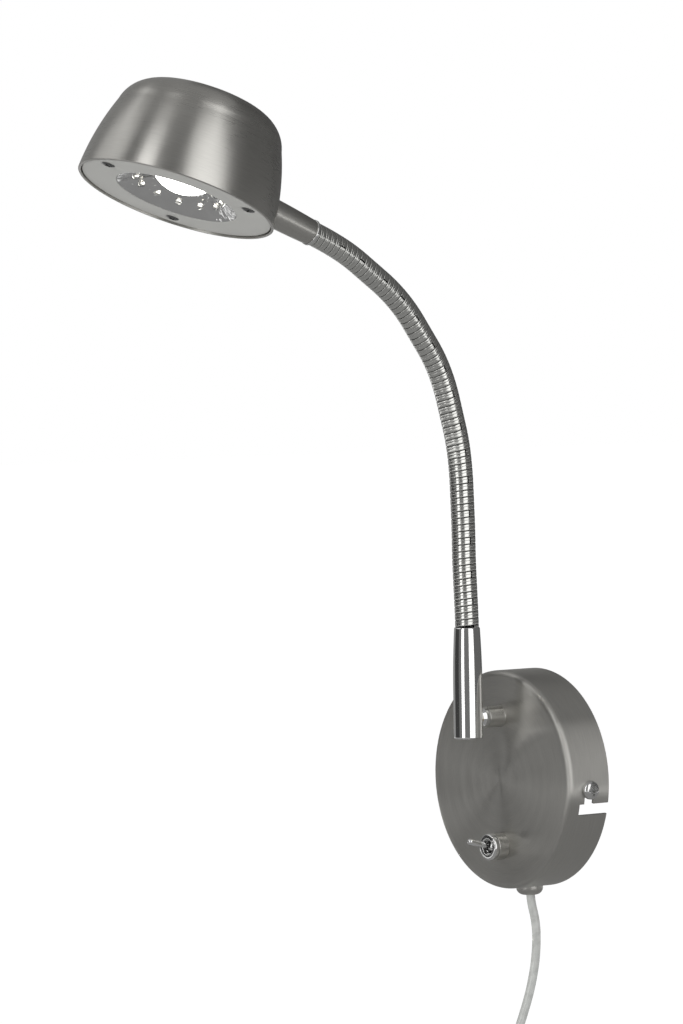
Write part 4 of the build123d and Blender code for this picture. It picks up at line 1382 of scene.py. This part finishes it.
    def bowl(self) -> None:
        """The bright bowl behind the opening, with a rolled lip."""
        lip = (self.bowl_lip, self.plate_recess + 0.2)
        thick = 0.8
        back_floor = (self.bowl_floor[0] + 0.4, self.bowl_floor[1] + thick)
        outline = arc(lip, self.bowl_middle, self.bowl_floor, 30)
        outline += [self.bowl_floor, back_floor]
        outline += arc(back_floor, (self.bowl_middle[0] + 0.6, self.bowl_middle[1] + 0.9),
                       (self.bowl_lip - 0.6, 3.2), 12)
        outline += [(self.bowl_lip - 0.6, 3.2), (31.0, 3.1), (31.0, 2.32), (27.3, 2.32), (27.3, 1.05),
                    (27.15, 0.95)]
        piece = lathe("light_bowl", outline, self.at(), segments=200)
        self.keep(piece, "reflector_silver", Body.HEAD, "reflector_mirror", "reflector")

    def lights(self) -> None:
        """The ring of clear domes with their chips."""
        for index in range(self.led_count):
            turn = math.radians(self.led_phase + 360.0 * index / self.led_count)
            x, y = self.led_circle * math.cos(turn), self.led_circle * math.sin(turn)
            spot = self.at() @ Matrix.Translation(Vector((x, y, 0)) * MM)
            radius = self.led_radius
            half = math.sqrt(0.5) * radius
            tip = self.led_tip
            outline = arc((0, tip), (half, tip + radius - half), (radius, tip + radius), 10)
            outline += [(radius, tip + radius), (radius, 7.4), (0, 7.4)]
            piece = lathe(f"led_dome_{index + 1:02d}", outline, spot, segments=32)
            nodes = ("led_domes",) if index == 0 else ()
            self.keep(piece, "led_resin", Body.HEAD, "led_clear", *nodes)
            low, high = tip + 1.5, tip + 2.2
            chip = rounded(((0, low, 0), (0.75, low, 0.2), (0.75, high, 0), (0, high, 0)))
            inner = lathe(f"led_chip_{index + 1:02d}", chip, spot, segments=16)
            self.keep(inner, "led_chip", Body.HEAD, "led_clear")

    def lens(self) -> None:
        """The lit lens over the bowl's floor."""
        rim, low, seat = self.lens_radius, self.lens_tip, self.lens_seat
        rise = seat - low
        ball = (rim ** 2 + rise ** 2) / (2 * rise)
        half = math.asin(rim / ball) / 2
        outline = arc((0, low), (ball * math.sin(half), low + ball * (1 - math.cos(half))), (rim, seat), 20)
        outline += [(rim, seat), (self.bowl_floor[0] - 0.3, self.bowl_floor[1]),
                    (self.bowl_floor[0] - 0.3, self.light_seat), (0, self.light_seat)]
        piece = lathe("centre_lens", outline, self.at(), segments=96)
        self.keep(piece, "centre_glow", Body.HEAD, "light_lens", "centre_light")

    def build(self) -> None:
        """Builds the head's pieces."""
        self.shell()
        self.collar()
        self.collar_ring()
        self.plate()
        self.plate_screws()
        self.bowl()
        self.lights()
        self.lens()


# ---------------------------------------------------------------------------------------------- lead
@dataclass
class Lead(Part):
    """The lead: out of its bushing, down, into a tied coil, and to its plug."""

    canopy_radius: float = CANOPY_RADIUS
    radius: float = 2.0
    bushing_y: float = -6.9
    bushing_proud: float = 3.9
    bushing_radius: float = 6.2
    inside: float = 6.0
    coil_turn: float = 40.0
    coil_pitch: float = 5.0
    coil_outer: float = 30.0
    coil_steps: tuple[int, ...] = (6, 5, 5, 5)
    coil_start: tuple[float, float, float] = (8.5, -18.8, -152.0)
    plug_top: tuple[float, float, float] = (22.7, -9.8, -211.0)
    arc_points: int = 9

    def down(self) -> Vector:
        """Direction in which the lead runs into the coil."""
        turn = math.radians(self.coil_turn)
        return Vector((math.sin(turn), 0, -math.cos(turn)))

    def out(self) -> Vector:
        """Direction across the coil, towards its first turn."""
        turn = math.radians(self.coil_turn)
        return Vector((math.cos(turn), 0, math.sin(turn)))

    def free_run(self) -> list[Vector]:
        """Control points from the bushing to the coil.

        Returns:
            The points, in millimetres.
        """
        end = Vector(self.coil_start) - self.down() * (2 * self.radius)
        points = [
            (0.0, self.bushing_y, -self.canopy_radius + self.inside),
            (0.0, self.bushing_y, -55.5),
            (1.6, -4.6, -66.5),
            (1.5, -4.5, -80.5),
            (-0.2, -6.4, -96.0),
            (-1.9, -10.4, -110.0),
            (-3.2, -14.8, -121.5),
            (-2.8, -18.2, -133.0),
        ]
        return [Vector(p) for p in points] + [end - self.down() * 10.0, end]

    def coil_ends(self) -> list[Vector]:
        """Ends of the coil's half turns, wound inwards, then outwards, layer on layer.

        Returns:
            The points, in millimetres.
        """
        centre = Vector(self.coil_start) - self.out() * self.coil_outer
        stations = [(self.coil_outer, 0)]
        radius = self.coil_outer
        for layer, steps in enumerate(self.coil_steps):
            inward = -1 if layer % 2 == 0 else 1
            for _ in range(steps):
                radius += inward * self.coil_pitch / 2
                stations.append((radius, layer))
            if layer + 1 < len(self.coil_steps):
                stations.append((radius, layer + 1))
        ends = []
        for index, (reach, layer) in enumerate(stations):
            side = 1 if index % 2 == 0 else -1
            ends.append(centre + self.out() * (side * reach) + Vector((0, layer * self.coil_pitch, 0)))
        return ends

    def coil_run(self) -> list[Vector]:
        """Control points of the coil, half turn by half turn.

        Returns:
            The points, in millimetres.
        """
        points = []
        ends = self.coil_ends()
        wider = 1 / (0.75 + 0.25 * math.cos(math.pi / self.arc_points))
        for index, (a, b) in enumerate(zip(ends, ends[1:])):
            travel = self.down() if index % 2 == 0 else -self.down()
            centre, arm = (a + b) / 2, (a - b) / 2
            for k in range(self.arc_points):
                turn = math.pi * (k + 0.5) / self.arc_points
                spoke = arm * math.cos(turn) + travel * (arm.length * math.sin(turn))
                points.append(centre + spoke * wider)
        return points

    def tail_run(self) -> list[Vector]:
        """Control points from the coil to the plug."""
        start = self.coil_ends()[-1] + self.down() * (2 * self.radius)
        points = [(19.0, -6.0, -177.0), (21.8, -8.4, -191.0), (22.7, -9.8, -202.0), self.plug_top]
        return [start, start + self.down() * 8.0] + [Vector(p) for p in points]

    def cord(self) -> None:
        """The whole lead as one smooth spline."""
        points = self.free_run() + self.coil_run() + self.tail_run()
        curve = bpy.data.curves.new("lead_cord", "CURVE")
        curve.dimensions = "3D"
        spline = curve.splines.new("NURBS")
        spline.points.add(len(points) - 1)
        for target, source in zip(spline.points, points):
            target.co = (*(source * MM), 1.0)
        spline.order_u = 3
        spline.use_endpoint_u = True
        spline.resolution_u = 6
        curve.bevel_depth = self.radius * MM
        curve.bevel_resolution = 5
        curve.use_fill_caps = True
        piece = bpy.data.objects.new("lead_cord", curve)
        bpy.context.scene.collection.objects.link(piece)
        self.keep(piece, "cord_skin", Body.CANOPY, "cord_pvc", "cord", "cord_coil", "cord_tail")

    def bushing(self) -> None:
        """The domed metal bushing under the canopy."""
        low = -self.bushing_proud
        bore = self.radius + 0.15
        outer = self.bushing_radius
        outline = [(bore, self.inside), (bore, low + 0.35)]
        outline += arc((bore + 0.1, low + 0.1), (bore + 0.4, low), (bore + 0.8, low + 0.03), 4)
        outline += arc((bore + 0.85, low + 0.04), (outer * 0.86, low * 0.7), (outer, -0.9), 16)
        outline += [(outer, -0.9), (outer, 0.5), (4.6, 0.5), (4.6, self.inside)]
        at = place((0, self.bushing_y, -self.canopy_radius), (0, 0, 1))
        piece = lathe("cord_dome", outline, at, segments=80)
        self.keep(piece, "bushing_metal", Body.CANOPY, "bushing_steel", "cord_bushing")

    def build(self) -> None:
        """Builds the lead's pieces."""
        self.cord()
        self.bushing()


# -------------------------------------------------------------------------------- carried-over nodes
NODE_FINISH = {
    "wall_bracket": "zinc",
    "side_screws": "screw_chrome",
    "neck_nipple": "brass",
    "nipple_washer": "zinc",
    "nipple_nut": "zinc",
    "switch_nut": "zinc",
    "switch_body": "switch_plastic",
    "led_driver": "driver_plastic",
    "terminal_block": "block_plastic",
    "canopy_wires": "wire_plastic",
    "collar_washer": "zinc",
    "collar_nut": "zinc",
    "shell_lugs": "zinc",
    "led_board": "board_mask",
    "heat_sink": "extruded_aluminium",
    "head_wires": "wire_plastic",
    "bushing_nut": "zinc",
    "cord_tie": "tie_plastic",
    "plug_body": "plug_plastic",
    "plug_pins": "ring_chrome",
}


# -------------------------------------------------------------------------------------------- studio
@dataclass(frozen=True)
class Panel:
    """Upright studio panel: a soft light or a dark flag, by its bearing round the lamp."""

    name: str
    start: float
    end: float
    level: float
    low: float = -0.28
    high: float = 2.6


@dataclass(frozen=True)
class Lid:
    """Level disc of the studio, above or below the lamp."""

    name: str
    height: float
    reach: float
    level: float


@dataclass
class Studio:
    """Camera at the photograph's angle, pale floor, soft lights and flags."""

    azimuth: float = 53.40
    elevation: float = 2.117
    roll: float = -0.909
    focal_px: float = 5222.2
    distance: float = 2400.0
    shift_right: float = 91.10
    shift_up: float = -121.49
    picture: tuple[int, int] = (683, 1024)
    far_clip: float = 60.0
    sensor: float = 36.0
    floor_z: float = -0.30
    floor_lift: float = 0.2
    floor_half: float = 14.0
    room_level: float = 0.85
    key_place: tuple[float, float, float] = (-0.4, -1.6, -0.1)
    key_aim: tuple[float, float, float] = (0, -0.15, 0.2)
    key_size: tuple[float, float] = (0.9, 1.2)
    key_power: float = 6.0
    ring: float = 1.9
    panel_steps: int = 12
    lid_steps: int = 48
    panels: tuple[Panel, ...] = (
        Panel("flag_far_left", 143.0, 203.0, 0.28),
        Panel("flag_left", -157.0, -112.0, 0.05, high=0.8),
        Panel("light_high", -157.0, -112.0, 0.75, low=0.8, high=1.9),
        Panel("flag_front", -112.0, -88.0, 0.16),
        Panel("light_front", -88.0, -66.0, 1.7),
        Panel("flag_camera", -66.0, -26.0, 0.17),
        Panel("light_side", -26.0, 16.0, 1.5),
        Panel("flag_right", 16.0, 91.0, 0.13),
        Panel("flag_back", 91.0, 143.0, 0.10),
    )
    lids: tuple[Lid, ...] = (
        Lid("ceiling_flag", 2.6, 1.95, 0.30),
        Lid("low_flag", -0.285, 1.35, 0.26),
    )

    def axes(self) -> tuple[Vector, Vector, Vector]:
        """The camera's directions.

        Returns:
            Its right, up and back directions.
        """
        a, e, r = (math.radians(v) for v in (self.azimuth, self.elevation, self.roll))
        back = Vector((math.sin(a) * math.cos(e), -math.cos(a) * math.cos(e), math.sin(e)))
        right = Vector((math.cos(a), math.sin(a), 0))
        up = back.cross(right)
        return (
            right * math.cos(r) + up * math.sin(r),
            up * math.cos(r) - right * math.sin(r),
            back,
        )

    def camera(self) -> None:
        """The camera, from its bearing, height and focal length in pixels."""
        right, up, back = self.axes()
        data = bpy.data.cameras.new("photo_camera")
        data.sensor_fit = "AUTO"
        data.sensor_width = self.sensor
        data.lens = self.focal_px / max(self.picture) * self.sensor
        data.clip_end = self.far_clip
        piece = bpy.data.objects.new("photo_camera", data)
        matrix = Matrix((right, up, back)).transposed().to_4x4()
        matrix.translation = (back * self.distance - right * self.shift_right - up * self.shift_up) * MM
        piece.matrix_world = matrix
        bpy.context.scene.collection.objects.link(piece)
        bpy.context.scene.camera = piece

    def glow_material(self, name: str, level: float) -> bpy.types.Material:
        """Plain emitting material.

        Args:
            name: The material's name.
            level: Its grey level.

        Returns:
            The material.
        """
        material = bpy.data.materials.new(name)
        material.use_nodes = True
        nodes = Nodes(material.node_tree)
        material.node_tree.nodes.clear()
        emission = nodes.add("ShaderNodeEmission")
        emission.inputs["Color"].default_value = (1, 1, 1, 1)
        emission.inputs["Strength"].default_value = level
        output = nodes.add("ShaderNodeOutputMaterial")
        nodes.join(emission.outputs[0], output.inputs["Surface"])
        return material

    def reflected(self, name: str, verts: list, faces: list, level: float) -> None:
        """Stage piece that shows only in reflections.

        Args:
            name: The piece's name.
            verts: Its points, in metres.
            faces: Its faces.
            level: Its grey level.
        """
        mesh = bpy.data.meshes.new(name)
        mesh.from_pydata(verts, [], faces)
        mesh.materials.append(self.glow_material(name, level))
        piece = new_object(name, mesh)
        piece.visible_camera = False
        piece.visible_diffuse = False
        piece.visible_shadow = False

    def panel(self, panel: Panel) -> None:
        """One curved upright panel.

        Args:
            panel: Its place and level.
        """
        verts, faces = [], []
        for k in range(self.panel_steps + 1):
            turn = math.radians(panel.start + (panel.end - panel.start) * k / self.panel_steps)
            for z in (panel.low, panel.high):
                verts.append((self.ring * math.cos(turn), self.ring * math.sin(turn), z))
        for k in range(self.panel_steps):
            faces.append((2 * k, 2 * k + 2, 2 * k + 3, 2 * k + 1))
        self.reflected(panel.name, verts, faces, panel.level)

    def lid(self, lid: Lid) -> None:
        """One level disc above or below the lamp.

        Args:
            lid: Its place and level.
        """
        turns = [2 * math.pi * k / self.lid_steps for k in range(self.lid_steps)]
        verts = [(lid.reach * math.cos(t), lid.reach * math.sin(t), lid.height) for t in turns]
        self.reflected(lid.name, verts, [range(self.lid_steps)], lid.level)

    @staticmethod
    def seen(nodes: Nodes) -> bpy.types.NodeSocket:
        """One for rays that the camera, gloss or glass sends, and nought for the rest.

        Args:
            nodes: The node helper of the material or world.

        Returns:
            The output.
        """
        path = nodes.add("ShaderNodeLightPath")
        either = nodes.math("MAXIMUM", path.outputs["Is Camera Ray"], path.outputs["Is Transmission Ray"])
        return nodes.math("MAXIMUM", either, path.outputs["Is Glossy Ray"])

    def floor(self) -> None:
        """Pale floor that keeps the lamp's shadow and is clear from below."""
        mesh = bpy.data.meshes.new("floor")
        half = self.floor_half
        corners = ((-half, -half), (half, -half), (half, half), (-half, half))
        mesh.from_pydata([(x, y, self.floor_z) for x, y in corners], [], [(0, 1, 2, 3)])
        material = bpy.data.materials.new("floor")
        material.use_nodes = True
        nodes = Nodes(material.node_tree)
        material.node_tree.nodes.clear()
        diffuse = nodes.add("ShaderNodeBsdfDiffuse")
        diffuse.inputs["Color"].default_value = (0.97, 0.97, 0.97, 1)
        seen = self.seen(nodes)
        lift = nodes.add("ShaderNodeEmission")
        lift.inputs["Color"].default_value = (1, 1, 1, 1)
        nodes.join(nodes.math("MULTIPLY", seen, self.floor_lift), lift.inputs["Strength"])
        pale = nodes.add("ShaderNodeAddShader")
        nodes.join(diffuse.outputs[0], pale.inputs[0])
        nodes.join(lift.outputs[0], pale.inputs[1])
        clear = nodes.add("ShaderNodeBsdfTransparent")
        sides = nodes.add("ShaderNodeMixShader")
        nodes.join(nodes.add("ShaderNodeNewGeometry").outputs["Backfacing"], sides.inputs[0])
        nodes.join(pale.outputs[0], sides.inputs[1])
        nodes.join(clear.outputs[0], sides.inputs[2])
        output = nodes.add("ShaderNodeOutputMaterial")
        nodes.join(sides.outputs[0], output.inputs["Surface"])
        mesh.materials.append(material)
        new_object("floor", mesh)

    def world(self) -> None:
        """Even soft light, white where the camera, gloss and glass see it."""
        world = bpy.data.worlds.new("soft_room")
        world.use_nodes = True
        bpy.context.scene.world = world
        nodes = Nodes(world.node_tree)
        world.node_tree.nodes.clear()
        seen = self.seen(nodes)
        backdrop = nodes.add("ShaderNodeBackground")
        backdrop.inputs["Strength"].default_value = 1.0
        backdrop.inputs["Color"].default_value = (1, 1, 1, 1)
        room = nodes.add("ShaderNodeBackground")
        room.inputs["Color"].default_value = (1, 1, 1, 1)
        room.inputs["Strength"].default_value = self.room_level
        mix = nodes.add("ShaderNodeMixShader")
        nodes.join(seen, mix.inputs[0])
        nodes.join(room.outputs[0], mix.inputs[1])
        nodes.join(backdrop.outputs[0], mix.inputs[2])
        output = nodes.add("ShaderNodeOutputWorld")
        nodes.join(mix.outputs[0], output.inputs["Surface"])

    def key_light(self) -> None:
        """Large soft lamp from the front left."""
        data = bpy.data.lights.new("key", "AREA")
        data.shape = "RECTANGLE"
        data.size, data.size_y = self.key_size
        data.energy = self.key_power
        piece = bpy.data.objects.new("key", data)
        piece.location = self.key_place
        aim = Vector(self.key_aim) - piece.location
        piece.rotation_mode = "QUATERNION"
        piece.rotation_quaternion = aim.to_track_quat("-Z", "Y")
        piece.visible_camera = False
        piece.visible_glossy = False
        bpy.context.scene.collection.objects.link(piece)

    def build(self) -> None:
        """Sets the stage."""
        bpy.context.scene.view_settings.view_transform = "Standard"
        self.camera()
        self.world()
        self.floor()
        self.key_light()
        for panel in self.panels:
            self.panel(panel)
        for lid in self.lids:
            self.lid(lid)


def main() -> None:
    """Builds the stage and the lamp's sub-assemblies."""
    logging.basicConfig(level=logging.INFO, format="%(name)s: %(message)s")
    Studio().build()
    finishes = Finishes(Effects())
    for kind in (Canopy, Arm, ToggleSwitch, Neck, Head, Lead):
        part = kind(finishes)
        part.build()
        for piece in part.pieces:
            LOG.info("%s: %s", kind.__name__, piece.name)
    for node, finish in NODE_FINISH.items():
        finishes.dress_node(node, finish)
        LOG.info("carried over: %s", node)


if __name__ == "__main__":
    main()
